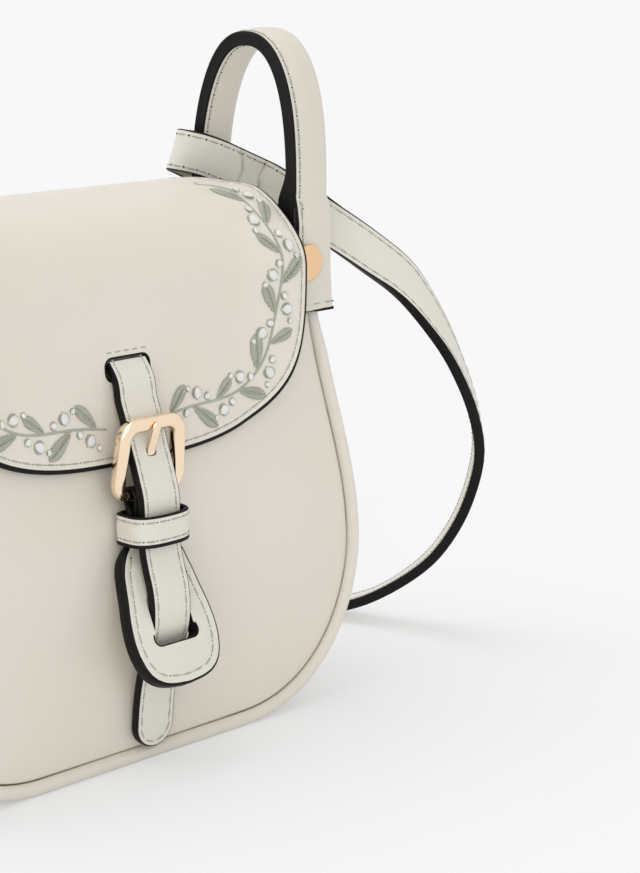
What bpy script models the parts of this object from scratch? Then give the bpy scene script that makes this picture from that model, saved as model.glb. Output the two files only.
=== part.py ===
"""Flap crossbody bag: piped shell, lining, flap, buckled closure, side handles and shoulder strap.

Metres, +Z up, +X to the wearer's right of the front face, -Y the front. The origin is the middle
of the bag's flat base, on the surface it stands on.
"""

import math

import bmesh
import bpy
from mathutils import Vector

# Bag shell
BAG_WIDTH = 0.190
TOP_WIDTH = 0.173
FLAT_WIDTH = 0.080
WIDEST_HEIGHT = 0.060
NARROWEST_HEIGHT = 0.140
CORNER_POWER = 2.2
BASE_DEPTH = 0.072
TOP_DEPTH = 0.049
DEPTH_TAPER_START = 0.045
DEPTH_TAPER_END = 0.150
FRONT_DROP = 0.016
BACK_DROP = 0.009
SHELL_LEATHER = 0.002
GUSSET_SINK = 0.002
GUSSET_SINK_HEIGHT = 0.030
PIPING_DIAMETER = 0.0046
PIPING_SINK_LENGTH = 0.016
LINING_CLOTH = 0.0008
BOARD_THICKNESS = 0.0016
BOARD_MARGIN = 0.004
GAP = 0.0003

# Flap
FLAP_TOP = 0.174
FLAP_TIP = 0.0955
FLAP_WIDTH = 0.1492
FLAP_HINGE_WIDTH = 0.112
FLAP_FLARE_START = 0.008
FLAP_FLARE_LENGTH = 0.032
FLAP_ROUND_LENGTH = 0.063
FLAP_POWER = 3.1
FLAP_LEATHER = 0.0016
FLAP_LINING = 0.0008
FLAP_CLEARANCE = 0.0004
FLAP_DOME = 0.0015
FLAP_BACK_RADIUS = 0.0062
FLAP_FRONT_RADIUS = 0.027
FLAP_BACK_OVERHANG = 0.001
FLAP_SIDE_LIFT = 0.0044
FLAP_LIFT_START = 0.045
FLAP_LIFT_LENGTH = 0.025
FLAP_LIFT_TOP = 0.170
FLAP_LIFT_FADE = 0.020
FLAP_SLOT_WIDTH = 0.0186
FLAP_SLOT_BOTTOM = 0.1208
FLAP_SLOT_TOP = 0.1290
SLOT_CORNER_RADIUS = 0.0026

# Closure: the flap's strap, the buckle, the keeper and the tab
CLOSURE_STRAP_WIDTH = 0.0148
CLOSURE_STRAP_LEATHER = 0.0032
# Middle of the strap's thickness: distance in front of the front panel's lower part, and height
CLOSURE_STRAP_ROUTE = (
    (-0.0076, 0.1258), (-0.0040, 0.1210), (-0.0028, 0.1150), (-0.0010, 0.1105), (0.0003, 0.1065),
    (0.0017, 0.1015), (0.0036, 0.0965), (0.0053, 0.0915), (0.0066, 0.0875), (0.0071, 0.0835),
    (0.0071, 0.0760), (0.0073, 0.0700), (0.0086, 0.0645), (0.0102, 0.0595), (0.0110, 0.0550),
    (0.0111, 0.0505), (0.0108, 0.0468), (0.0098, 0.0430), (0.0083, 0.0390), (0.0065, 0.0345),
    (0.0049, 0.0295), (0.0034, 0.0230), (0.0024, 0.0155), (0.0020, 0.0100), (0.0019, 0.0052),
)
# The tab from its neck down: middle of its thickness in front of the panel's lower part, height,
# thickness and width
TAB_ROUTE = (
    (-0.0004, 0.0843, 0.0012, 0.0147), (0.0006, 0.0829, 0.0016, 0.0155),
    (0.0013, 0.0813, 0.0024, 0.0158), (0.0013, 0.0735, 0.0024, 0.0158),
    (0.0013, 0.0706, 0.0024, 0.0160), (0.0017, 0.0686, 0.0030, 0.0190),
    (0.0024, 0.0660, 0.0042, 0.0226), (0.0031, 0.0630, 0.0048, 0.0256),
    (0.0049, 0.0590, 0.0048, 0.0280), (0.0067, 0.0550, 0.0048, 0.0301),
    (0.0085, 0.0510, 0.0048, 0.0320), (0.0103, 0.0470, 0.0048, 0.0332),
    (0.0119, 0.0435, 0.0048, 0.0336), (0.0135, 0.0400, 0.0048, 0.0330),
    (0.0151, 0.0365, 0.0048, 0.0310), (0.0162, 0.0340, 0.0048, 0.0283),
    (0.01715, 0.0320, 0.0048, 0.0242), (0.0178, 0.0305, 0.0048, 0.0186),
    (0.01815, 0.0297, 0.0048, 0.0120), (0.01835, 0.0293, 0.0048, 0.0040),
)
TAB_TILT_RUN = 0.0155
TAB_TILT_RISE = 0.0341
TAB_SLOT_WIDTH = 0.0186
TAB_SLOT_LENGTH = 0.0054
TAB_SLOT_FORWARD = 0.0116
TAB_SLOT_HEIGHT = 0.0433
TAB_RELIEF_LENGTH = 0.0160
TAB_FOLD_LEATHER = 0.0012
TAB_FOLD_END = 0.0762
BUCKLE_WIDTH = 0.026
BUCKLE_HEIGHT = 0.0265
BUCKLE_THICKNESS = 0.0032
BUCKLE_BAR = 0.0037
BUCKLE_PIN_BAR = 0.0026
BUCKLE_CORNER_RADIUS = 0.0060
BUCKLE_EDGE_RADIUS = 0.0007
BUCKLE_FORWARD = 0.0015
BUCKLE_LEAN = 0.0026
BUCKLE_BOTTOM = 0.0850
PRONG_WIDTH = 0.0032
PRONG_THICKNESS = 0.0012
PRONG_PLAY = 0.0007
KEEPER_LEATHER = 0.0014
KEEPER_WIDTH = 0.0218
KEEPER_FRONT = 0.0115
KEEPER_BACK = -0.0016
KEEPER_CORNER_RADIUS = 0.0036
KEEPER_HEIGHT = 0.0094
KEEPER_BOTTOM = 0.0724

# Side handles and their rivets
HANDLE_INNER_EDGE = 0.0754
HANDLE_WIDTH = 0.015
HANDLE_THICKNESS = 0.0056
HANDLE_TOP = 0.222
HANDLE_SPAN = 0.0524
HANDLE_LEG_TOP = 0.168
HANDLE_ARCH_POWER = 2.3
HANDLE_LEAN = 0.002
HANDLE_TAB_WIDTH = 0.0226
HANDLE_TAB_LEATHER = 0.0024
HANDLE_TAB_BOTTOM = 0.131
HANDLE_TAB_TOP = 0.151
HANDLE_FOLD_OUT = 0.0006
RIVET_HEIGHT = 0.1475
RIVET_OFFSET = 0.0790
RIVET_CAP_DIAMETER = 0.012
RIVET_CAP_THICKNESS = 0.0014
RIVET_CAP_EDGE = 0.0005
RIVET_SHANK_DIAMETER = 0.0036
RIVET_HOLE_DIAMETER = 0.0042

# Shoulder strap: place, lean of its width away from upright as a share, and heading of that lean
STRAP_WIDTH = 0.014
STRAP_LEATHER = 0.0034
STRAP_ROUTE = (
    (0.09855, 0.00227, 0.16539, 0.00, 45), (0.10296, -0.00179, 0.16175, 0.00, 45),
    (0.1095, -0.0085, 0.1550, 0.04, 45), (0.1205, -0.0155, 0.1455, 0.16, 45),
    (0.1320, -0.0220, 0.1345, 0.34, 45), (0.1430, -0.0281, 0.1170, 0.54, 45),
    (0.1500, -0.0315, 0.1020, 0.70, 45), (0.1550, -0.0335, 0.0880, 0.80, 45),
    (0.1582, -0.0335, 0.0740, 0.90, 45), (0.1592, -0.0300, 0.0600, 0.97, 44),
    (0.1588, -0.0236, 0.0450, 1.00, 42), (0.1578, -0.0130, 0.0300, 1.00, 38),
    (0.1545, 0.0000, 0.0180, 1.00, 30), (0.1500, 0.0150, 0.0085, 1.00, 22),
    (0.1448, 0.0310, 0.0036, 1.00, 20), (0.1370, 0.0510, 0.0022, 1.00, 26),
    (0.1235, 0.0710, 0.0022, 1.00, 38), (0.1030, 0.0890, 0.0022, 1.00, 52),
    (0.0760, 0.1030, 0.0022, 1.00, 66), (0.0400, 0.1115, 0.0022, 1.00, 80),
    (0.0000, 0.1140, 0.0022, 1.00, 90),
)
STRAP_END_ROUTE = (
    (0.0983, 0.0025, 0.1656), (0.0936, 0.00685, 0.1695), (0.0865, 0.0110, 0.1735),
    (0.0790, 0.0144, 0.1774), (0.0735, 0.0170, 0.1798), (0.0698, 0.0206, 0.1810),
    (0.0696, 0.0250, 0.1810), (0.0725, 0.0282, 0.1798), (0.0780, 0.0290, 0.1776),
    (0.0860, 0.0294, 0.1742), (0.0918, 0.0286, 0.1724), (0.0948, 0.0242, 0.1710),
    (0.0949, 0.0172, 0.1696), (0.0949, 0.0118, 0.1686),
)

# Mesh fineness, as counts and shares
CORNER_STEPS = 10
SIDE_STEPS = 8
RIBBON_COLUMN_SHARES = (-1, 1)
PANEL_COLUMN_SHARES = (-1, -0.6, -0.2, 0.2, 0.6, 1)
GUSSET_COLUMN_SHARES = (-1, -0.4, 0.4, 1)
FLAP_COLUMN_SHARES = (-1, -0.92, -0.84, -0.76, -0.68, -0.58, -0.3, 0.3, 0.58, 0.68, 0.76, 0.84, 0.92, 1)
FLAP_BACK_ROWS = 12
FLAP_ROUND_ROWS = 14
FLAP_LAST_ROW_SHARE = 0.9995
ARC_STEPS = 8
ROUND_STEPS = 24
PIPING_ROUND_STEPS = 2
HANDLE_ARCH_STEPS = 22
STRAP_STEP_SHARE = 0.9
TIP_SHARES = (0, 0.35, 0.62, 0.82, 0.94, 1)
TIP_LAST_SHARE = 0.99
CUT_OVERRUN = 0.003

# Colours as red, green and blue, then roughness and metallic value
CREAM_LEATHER = ((0.76, 0.71, 0.63), 0.5, 0.0)
PALE_LEATHER = ((0.77, 0.75, 0.69), 0.45, 0.0)
LINING_FABRIC = ((0.62, 0.57, 0.49), 0.9, 0.0)
BOARD_CARD = ((0.45, 0.40, 0.33), 0.9, 0.0)
ROSE_GOLD = ((0.86, 0.60, 0.38), 0.2, 1.0)


def ease(value, start, length):
    """Smooth step from 0 at start to 1 at start + length."""
    share = min(max((value - start) / length, 0), 1)
    return share * share * (3 - 2 * share)


def mix(first, second, share):
    """The value at a share of the way from first to second."""
    return first + (second - first) * share


def clear_scene():
    """Remove every object of the open scene."""
    for item in list(bpy.data.objects):
        bpy.data.objects.remove(item, do_unlink=True)


def material(name, finish):
    """A Principled material from a colour, a roughness and a metallic value."""
    colour, roughness, metallic = finish
    result = bpy.data.materials.new(name)
    result.use_nodes = True
    shader = result.node_tree.nodes["Principled BSDF"]
    shader.inputs["Base Color"].default_value = (*colour, 1)
    shader.inputs["Roughness"].default_value = roughness
    shader.inputs["Metallic"].default_value = metallic
    return result


def add_object(name, mesh, finish, origin=(0, 0, 0)):
    """Put a mesh in the scene as a named object whose own origin is the given place."""
    place = Vector(origin)
    for vertex in mesh.vertices:
        vertex.co -= place
    mesh.materials.append(material(name, finish))
    result = bpy.data.objects.new(name, mesh)
    result.location = place
    bpy.context.scene.collection.objects.link(result)
    return result


def closed_mesh(name, points, faces):
    """A mesh from points and faces, with its faces pointing outwards."""
    build = bmesh.new()
    corners = [build.verts.new(point) for point in points]
    for face in faces:
        build.faces.new([corners[index] for index in face])
    bmesh.ops.recalc_face_normals(build, faces=build.faces)
    mesh = bpy.data.meshes.new(name)
    build.to_mesh(mesh)
    build.free()
    return mesh


def sheet_mesh(name, outer, inner):
    """A closed sheet between two equal grids of points, given as rows."""
    rows = len(outer)
    columns = len(outer[0])
    count = rows * columns
    points = [point for row in outer for point in row] + [point for row in inner for point in row]
    faces = []
    for row in range(rows - 1):
        for column in range(columns - 1):
            corner = row * columns + column
            quad = (corner, corner + 1, corner + columns + 1, corner + columns)
            faces.append(quad)
            faces.append(tuple(index + count for index in reversed(quad)))
    rim = [column for column in range(columns)]
    rim += [row * columns + columns - 1 for row in range(1, rows)]
    rim += [(rows - 1) * columns + column for column in reversed(range(columns - 1))]
    rim += [row * columns for row in reversed(range(1, rows - 1))]
    for here, after in zip(rim, rim[1:] + rim[:1]):
        faces.append((here, here + count, after + count, after))
    return closed_mesh(name, points, faces)


def smooth_shade(item):
    """Shade a round piece smooth, with its real edges kept sharp."""
    item.data.shade_smooth()
    item.data.set_sharp_from_angle(angle=math.radians(35))


def cut(item, cutter):
    """Take a guide body out of an object with an exact Boolean."""
    step = item.modifiers.new("cut", "BOOLEAN")
    step.operation = "DIFFERENCE"
    step.solver = "EXACT"
    step.object = cutter


def add_guide(name, mesh):
    """Put a mesh in the scene as a hidden guide that isn't part of the bag."""
    result = bpy.data.objects.new(name, mesh)
    bpy.context.scene.collection.objects.link(result)
    result.hide_render = True
    result.display_type = "WIRE"
    return result


def slot_cutter(name, width, bottom, top, near, far):
    """A guide with rounded corners, for a slot seen from the front between two depths."""
    half = width / 2
    radius = min(SLOT_CORNER_RADIUS, half, (top - bottom) / 2)
    loop = []
    for turn, (side, height) in enumerate(((1, top), (-1, top), (-1, bottom), (1, bottom))):
        centre_x = side * (half - radius)
        centre_z = height - radius if height == top else height + radius
        for step in range(ARC_STEPS // 2 + 1):
            angle = math.radians(90) * (turn + step / (ARC_STEPS // 2))
            loop.append((centre_x + radius * math.cos(angle), centre_z + radius * math.sin(angle)))
    count = len(loop)
    points = [(x, -near, z) for x, z in loop] + [(x, -far, z) for x, z in loop]
    faces = [tuple(range(count)), tuple(reversed(range(count, 2 * count)))]
    faces += [(i, (i + 1) % count, (i + 1) % count + count, i + count) for i in range(count)]
    return add_guide(name, closed_mesh(name, points, faces))


def turned_mesh(name, profile, centre, facing):
    """A body turned about a line along Y, from (distance outwards, radius) pairs."""
    points = []
    faces = []
    for reach, radius in profile:
        for step in range(ROUND_STEPS):
            angle = math.tau * step / ROUND_STEPS
            points.append((
                centre[0] + radius * math.cos(angle),
                centre[1] + facing * reach,
                centre[2] + radius * math.sin(angle),
            ))
    for ring in range(len(profile) - 1):
        for step in range(ROUND_STEPS):
            after = (step + 1) % ROUND_STEPS
            low = ring * ROUND_STEPS
            high = low + ROUND_STEPS
            faces.append((low + step, low + after, high + after, high + step))
    faces.append(tuple(range(ROUND_STEPS)))
    last = (len(profile) - 1) * ROUND_STEPS
    faces.append(tuple(reversed(range(last, last + ROUND_STEPS))))
    return closed_mesh(name, points, faces)


# Bag shell


def front_height():
    """Height of the front panel's top edge, under the flap."""
    return FLAP_TOP - FRONT_DROP


def back_height():
    """Height of the back panel's top edge, where the flap starts."""
    return FLAP_TOP - BACK_DROP


def half_width(height):
    """Half the width of the bag's front outline at a height."""
    if height < WIDEST_HEIGHT:
        drop = (WIDEST_HEIGHT - height) / WIDEST_HEIGHT
        reach = (1 - drop ** CORNER_POWER) ** (1 / CORNER_POWER)
        return mix(FLAT_WIDTH, BAG_WIDTH, reach) / 2
    narrowing = ease(height, WIDEST_HEIGHT, NARROWEST_HEIGHT - WIDEST_HEIGHT)
    return mix(BAG_WIDTH, TOP_WIDTH, narrowing) / 2


def back_depth(height):
    """Distance of the back panel's outer face behind the bag's middle at a height."""
    taper = ease(height, DEPTH_TAPER_START, DEPTH_TAPER_END - DEPTH_TAPER_START)
    return mix(BASE_DEPTH, TOP_DEPTH, taper) / 2


def flap_stack():
    """Thickness of the flap with its lining."""
    return FLAP_LEATHER + 2 * GAP + FLAP_LINING


def flap_front_centre():
    """Place of the centre of the flap's front bend, as (forward, height)."""
    height = FLAP_TOP - FLAP_DOME - FLAP_FRONT_RADIUS
    forward = back_depth(height) + FLAP_CLEARANCE + flap_stack() - FLAP_FRONT_RADIUS
    return forward, height


def front_depth(height):
    """Distance of the front panel's outer face in front of the middle; its top follows the flap."""
    forward, centre = flap_front_centre()
    if height <= centre:
        return back_depth(height)
    radius = FLAP_FRONT_RADIUS - flap_stack() - FLAP_CLEARANCE
    rise = min(height - centre, radius)
    return min(back_depth(height), forward + math.sqrt(radius * radius - rise * rise))


def outline(inset, top):
    """Right half of the front outline from the base to a height, drawn in by an inset."""
    base = []
    for step in range(CORNER_STEPS + 1):
        angle = math.radians(90) * step / CORNER_STEPS
        height = WIDEST_HEIGHT * (1 - math.cos(angle) ** (2 / CORNER_POWER))
        reach = math.sin(angle) ** (2 / CORNER_POWER)
        base.append((mix(FLAT_WIDTH, BAG_WIDTH, reach) / 2, height))
    for step in range(1, SIDE_STEPS + 1):
        height = mix(WIDEST_HEIGHT, top, step / SIDE_STEPS)
        base.append((half_width(height), height))
    result = []
    for index, (x, z) in enumerate(base):
        before = base[max(index - 1, 0)]
        after = base[min(index + 1, len(base) - 1)]
        along_x = after[0] - before[0]
        along_z = after[1] - before[1]
        length = math.hypot(along_x, along_z)
        if index == 0:
            along_x, along_z, length = 1, 0, 1
        result.append((x - inset * along_z / length, z + inset * along_x / length))
    return result


def piping_radius():
    """Radius of the piping cord."""
    return PIPING_DIAMETER / 2


def piping_setback(height):
    """How far the piping's middle lies behind its panel's outer face; it sinks below the handles."""
    sink = ease(height, HANDLE_TAB_BOTTOM - PIPING_SINK_LENGTH, PIPING_SINK_LENGTH)
    return mix(SHELL_LEATHER / 2, piping_radius() + GAP, sink)


def panel(name, facing, top, depth, inset, skin, finish):
    """A panel or its lining: rows across the outline, with an outer and an inner face."""
    outer_skin, thickness = skin
    rows = outline(inset, top)
    outer = []
    inner = []
    for x, z in rows:
        face = depth(z) - outer_skin
        outer.append([(x * share, facing * face, z) for share in PANEL_COLUMN_SHARES])
        inner.append([(x * share, facing * (face - thickness), z) for share in PANEL_COLUMN_SHARES])
    return add_object(name, sheet_mesh(name, outer, inner), finish)


def gusset(name, inset, thickness, edge, sink, finish):
    """The band round the bag's sides and base, from front edge to back edge."""
    right = outline(0, front_height())
    inner_right = outline(1, front_height())
    outer = []
    inner = []
    for side, order in ((-1, -1), (1, 1)):
        for index in range(len(right))[::order]:
            x, z = right[index]
            inward_x = inner_right[index][0] - x
            inward_z = inner_right[index][1] - z
            drawn = inset + sink * ease(z, 0, GUSSET_SINK_HEIGHT)
            for rows, depth_in in ((outer, drawn), (inner, drawn + thickness)):
                place_x = side * (x + inward_x * depth_in)
                place_z = z + inward_z * depth_in
                front = front_depth(z) - edge(z)
                back = back_depth(z) - edge(z)
                rows.append([
                    (place_x, mix(-front, back, (share + 1) / 2), place_z)
                    for share in GUSSET_COLUMN_SHARES
                ])
    return add_object(name, sheet_mesh(name, outer, inner), finish)


def piping(name, facing, top, depth):
    """The filled cord sewn between a panel and the gusset, from one top corner to the other."""
    right = outline(piping_radius(), top)
    places = [(-x, z) for x, z in reversed(right)] + list(right)
    curve = bpy.data.curves.new(name, "CURVE")
    curve.dimensions = "3D"
    curve.bevel_depth = piping_radius()
    curve.bevel_resolution = PIPING_ROUND_STEPS
    curve.use_fill_caps = True
    spline = curve.splines.new("POLY")
    spline.points.add(len(places) - 1)
    for point, (x, z) in zip(spline.points, places):
        point.co = (x, facing * (depth(z) - piping_setback(z)), z, 1)
    curve.materials.append(material(name, CREAM_LEATHER))
    result = bpy.data.objects.new(name, curve)
    bpy.context.scene.collection.objects.link(result)
    return result


def base_board():
    """The stiff board that keeps the base flat, between the gusset and its lining."""
    name = "base_board"
    half_x = FLAT_WIDTH / 2
    half_y = BASE_DEPTH / 2 - BOARD_MARGIN
    low = SHELL_LEATHER + GAP
    high = low + BOARD_THICKNESS
    outer = [[(x, y, high) for x in (-half_x, half_x)] for y in (-half_y, half_y)]
    inner = [[(x, y, low) for x in (-half_x, half_x)] for y in (-half_y, half_y)]
    return add_object(name, sheet_mesh(name, outer, inner), BOARD_CARD)


def leather_edge(height):
    """How far the gusset's edges lie behind the panels' outer faces, clear of the piping."""
    return piping_setback(height) + piping_radius() + GAP


def cloth_edge(_):
    """How far the gusset lining's edges lie behind the panels' outer faces."""
    return SHELL_LEATHER + GAP


def build_shell():
    """The sewn shell with its piping, board and lining."""
    inset = PIPING_DIAMETER + GAP
    leather = (0, SHELL_LEATHER)
    cloth = (SHELL_LEATHER + GAP, LINING_CLOTH)
    front = panel("front_panel", -1, front_height(), front_depth, inset, leather, CREAM_LEATHER)
    back = panel("back_panel", 1, back_height(), back_depth, inset, leather, CREAM_LEATHER)
    gusset("gusset", 0, SHELL_LEATHER, leather_edge, GUSSET_SINK, CREAM_LEATHER)
    piping("front_piping", -1, front_height(), front_depth)
    piping("back_piping", 1, front_height(), back_depth)
    base_board()
    gusset("gusset_lining", inset, LINING_CLOTH, cloth_edge, 0, LINING_FABRIC)
    inset += LINING_CLOTH + GAP
    panel("front_lining", -1, front_height(), front_depth, inset, cloth, LINING_FABRIC)
    panel("back_lining", 1, front_height(), back_depth, inset, cloth, LINING_FABRIC)
    return [front, back]


# Flap


def flap_hinge_place():
    """The flap's hinge line at the top of the back panel, as (distance back, height)."""
    return TOP_DEPTH / 2 + FLAP_BACK_OVERHANG, back_height() + 2 * GAP


def flap_path():
    """Dense points (y, z) of the flap's outer face at the middle, from its hinge to its tip."""
    back, low = flap_hinge_place()
    level = FLAP_TOP - FLAP_DOME
    forward, bend = flap_front_centre()
    points = [(back, low)]
    for step in range(ARC_STEPS + 1):
        angle = math.radians(90) * step / ARC_STEPS
        y = back - FLAP_BACK_RADIUS * (1 - math.cos(angle))
        points.append((y, level - FLAP_BACK_RADIUS * (1 - math.sin(angle))))
    start = back - FLAP_BACK_RADIUS
    for step in range(1, 2 * ARC_STEPS):
        share = step / (2 * ARC_STEPS)
        points.append((mix(start, -forward, share), level + 4 * FLAP_DOME * share * (1 - share)))
    for step in range(2 * ARC_STEPS + 1):
        angle = math.radians(90) * step / (2 * ARC_STEPS)
        y = -forward - FLAP_FRONT_RADIUS * math.sin(angle)
        points.append((y, bend + FLAP_FRONT_RADIUS * math.cos(angle)))
    stand_off = FLAP_CLEARANCE + flap_stack()
    for step in range(1, 4 * ARC_STEPS + 1):
        height = mix(bend, FLAP_TIP, step / (4 * ARC_STEPS))
        points.append((-back_depth(height) - stand_off, height))
    return points


def path_lengths(points):
    """Distance of each point along a path, from its first point."""
    lengths = [0]
    for here, after in zip(points, points[1:]):
        lengths.append(lengths[-1] + math.dist(here, after))
    return lengths


def at_length(points, lengths, length):
    """The point of a path at a distance along it."""
    index = 0
    while index < len(points) - 2 and lengths[index + 1] < length:
        index += 1
    span = lengths[index + 1] - lengths[index]
    share = (length - lengths[index]) / span
    return Vector(points[index]).lerp(Vector(points[index + 1]), share)


def flap_half_width(run, left):
    """Half the flap's width, from the distance past the hinge and the distance left to the tip."""
    if left < FLAP_ROUND_LENGTH:
        drop = (FLAP_ROUND_LENGTH - left) / FLAP_ROUND_LENGTH
        return FLAP_WIDTH / 2 * (1 - drop ** FLAP_POWER) ** (1 / FLAP_POWER)
    flare = ease(run, FLAP_FLARE_START, FLAP_FLARE_LENGTH)
    return mix(FLAP_HINGE_WIDTH, FLAP_WIDTH, flare) / 2


def flap_lift(x, y, height):
    """How far the flap stands forward near its sides, over the handle tabs and their rivets."""
    if y > 0:
        return 0
    sideways = ease(abs(x), FLAP_LIFT_START, FLAP_LIFT_LENGTH)
    return FLAP_SIDE_LIFT * sideways * (1 - ease(height, FLAP_LIFT_TOP - FLAP_LIFT_FADE, FLAP_LIFT_FADE))


def flap_layer(name, depth_in, thickness, finish):
    """One layer of the flap, lying a depth under the flap's outer face."""
    points = flap_path()
    lengths = path_lengths(points)
    whole = lengths[-1]
    straight = whole - FLAP_ROUND_LENGTH
    runs = [straight * step / FLAP_BACK_ROWS for step in range(FLAP_BACK_ROWS)]
    for step in range(FLAP_ROUND_ROWS):
        angle = math.radians(90) * step / (FLAP_ROUND_ROWS - 1)
        runs.append(straight + FLAP_ROUND_LENGTH * math.sin(angle) * FLAP_LAST_ROW_SHARE)
    layers = ([], [])
    for run in runs:
        place = at_length(points, lengths, run)
        before = at_length(points, lengths, max(run - FLAP_LEATHER, 0))
        after = at_length(points, lengths, min(run + FLAP_LEATHER, whole))
        along = (after - before).normalized()
        reach = flap_half_width(run, whole - run)
        for rows, depth in zip(layers, (depth_in, depth_in + thickness)):
            y = place.x - along.y * depth
            z = place.y + along.x * depth
            rows.append([
                (reach * share, y - flap_lift(reach * share, *place), z) for share in FLAP_COLUMN_SHARES
            ])
    hinge = flap_hinge_place()
    return add_object(name, sheet_mesh(name, *layers), finish, (0, hinge[0], hinge[1]))


def build_flap():
    """The flap's leather and lining, with the slot that the closure strap comes out of."""
    leather = flap_layer("flap", 0, FLAP_LEATHER, CREAM_LEATHER)
    lining = flap_layer("flap_lining", FLAP_LEATHER + 2 * GAP, FLAP_LINING, LINING_FABRIC)
    face = back_depth(FLAP_SLOT_BOTTOM) + FLAP_CLEARANCE + flap_stack()
    near = face - flap_stack() - CUT_OVERRUN
    cutter = slot_cutter(
        "flap_slot_guide", FLAP_SLOT_WIDTH, FLAP_SLOT_BOTTOM, FLAP_SLOT_TOP, near, face + CUT_OVERRUN
    )
    for layer in (leather, lining):
        cut(layer, cutter)


# Closure


def ribbon_mesh(name, rows):
    """A strap lying across X from rows of (forward, height, thickness, width) along its middle."""
    outer = []
    inner = []
    for index, (forward, height, thickness, width) in enumerate(rows):
        before = rows[max(index - 1, 0)]
        after = rows[min(index + 1, len(rows) - 1)]
        along = Vector((after[0] - before[0], after[1] - before[1])).normalized()
        side = Vector((-along.y, along.x)) * thickness / 2
        for grid, sign in ((outer, 1), (inner, -1)):
            y = -(forward + sign * side.x)
            z = height + sign * side.y
            grid.append([(width * share / 2, y, z) for share in RIBBON_COLUMN_SHARES])
    return sheet_mesh(name, outer, inner)


def rounded_end(route, half, length):
    """Points of a route with half widths, its last stretch rounded off like a strap's tip."""
    lengths = path_lengths(route)
    whole = lengths[-1]
    rows = [(*point, half) for point, run in zip(route, lengths) if run < whole - length]
    for share in TIP_SHARES:
        share *= TIP_LAST_SHARE
        place = at_length(route, lengths, whole - length + length * share)
        rows.append((place.x, place.y, half * math.sqrt(1 - share * share)))
    return rows


def forward_of(distance):
    """Distance in front of the bag's middle of something in front of the panel's lower part."""
    return BASE_DEPTH / 2 + distance


def closure_hinge_place():
    """The line that the closure swings on, in the flap's slot, as (forward, height)."""
    first = CLOSURE_STRAP_ROUTE[0]
    return forward_of(first[0]) + GAP, first[1] - 3 * GAP


def bar_place():
    """Middle of the buckle's lower bar, as (forward, height)."""
    return forward_of(BUCKLE_FORWARD), BUCKLE_BOTTOM + BUCKLE_PIN_BAR / 2


def buckle_top():
    """Middle of the buckle's upper bar, as (forward, height)."""
    height = BUCKLE_BOTTOM + BUCKLE_HEIGHT - BUCKLE_BAR / 2
    return forward_of(BUCKLE_FORWARD) + BUCKLE_LEAN, height


def fold_radius():
    """Inner radius of what goes round the buckle's lower bar."""
    wide = BUCKLE_THICKNESS / 2 - BUCKLE_EDGE_RADIUS
    high = BUCKLE_PIN_BAR / 2 - BUCKLE_EDGE_RADIUS
    return math.hypot(wide, high) + BUCKLE_EDGE_RADIUS + GAP


def prong_rows(thickness, width, start):
    """Rows of the prong's straight shaft, from a height on the lower bar to the upper bar."""
    bar_forward, _ = bar_place()
    top_forward, top_height = buckle_top()
    low = bar_forward + fold_radius() + PRONG_THICKNESS / 2
    high = top_forward + BUCKLE_THICKNESS / 2 + GAP + PRONG_THICKNESS / 2
    rows = []
    for share in (0, 0.25, 0.5, 0.75, 1):
        forward = mix(low, high, ease(share, 0, 1))
        rows.append((forward, mix(start, top_height - BUCKLE_BAR / 4, share), thickness, width))
    rows.append((high, top_height + BUCKLE_BAR / 4, thickness, width))
    return rows


def closure_strap():
    """The strap from the flap's slot through buckle, keeper and tab slot to its round tip."""
    name = "closure_strap"
    half = CLOSURE_STRAP_WIDTH / 2
    rows = []
    for distance, height, reach in rounded_end(CLOSURE_STRAP_ROUTE, half, half):
        rows.append((forward_of(distance), height, CLOSURE_STRAP_LEATHER, 2 * reach))
    forward, height = closure_hinge_place()
    strap = add_object(name, ribbon_mesh(name, rows), PALE_LEATHER, (0, -forward, height))
    _, bar_height = bar_place()
    hole_rows = prong_rows(PRONG_THICKNESS + 2 * GAP, PRONG_WIDTH + 2 * GAP, bar_height)
    hole_rows = [(row[0] + PRONG_PLAY / 2, row[1], row[2] + PRONG_PLAY, row[3]) for row in hole_rows]
    cut(strap, add_guide("prong_hole_guide", ribbon_mesh("prong_hole_guide", hole_rows)))


def tab_rows():
    """Rows of the tab with its fold: round the lower bar from the front, then down the neck."""
    forward, height = bar_place()
    radius = fold_radius() + TAB_FOLD_LEATHER / 2
    width = TAB_ROUTE[0][3]
    rows = [(forward + radius, TAB_FOLD_END, TAB_FOLD_LEATHER, width)]
    for step in range(2 * ARC_STEPS + 1):
        angle = math.radians(205) * step / (2 * ARC_STEPS)
        place = (forward + radius * math.cos(angle), height + radius * math.sin(angle))
        rows.append((*place, TAB_FOLD_LEATHER, width))
    return rows + [(forward_of(row[0]), *row[1:]) for row in TAB_ROUTE]


def closure_tab():
    """The tab folded round the buckle, with the slot that the strap's tip goes through."""
    name = "closure_tab"
    tab = add_object(name, ribbon_mesh(name, tab_rows()), PALE_LEATHER)
    tilt = math.atan2(TAB_TILT_RUN, TAB_TILT_RISE)
    reach = 2 * TAB_ROUTE[-1][2]
    half = TAB_SLOT_LENGTH / 2
    slot = slot_cutter("tab_slot_guide", TAB_SLOT_WIDTH, -half, half, -reach, reach)
    width = CLOSURE_STRAP_WIDTH + 2 * GAP
    relief = slot_cutter("tab_relief_guide", width, -half, TAB_RELIEF_LENGTH - half, -reach, reach)
    for guide in (slot, relief):
        guide.location = (0, -forward_of(TAB_SLOT_FORWARD), TAB_SLOT_HEIGHT)
        guide.rotation_euler = (-tilt, 0, 0)
        cut(tab, guide)
    forward, height = bar_place()
    reach = fold_radius() + TAB_FOLD_LEATHER + CUT_OVERRUN
    width = PRONG_WIDTH + 2 * GAP
    low = height - reach
    high = height + reach
    cut(tab, slot_cutter("prong_eye_guide", width, low, high, forward - reach, forward + reach))


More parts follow.
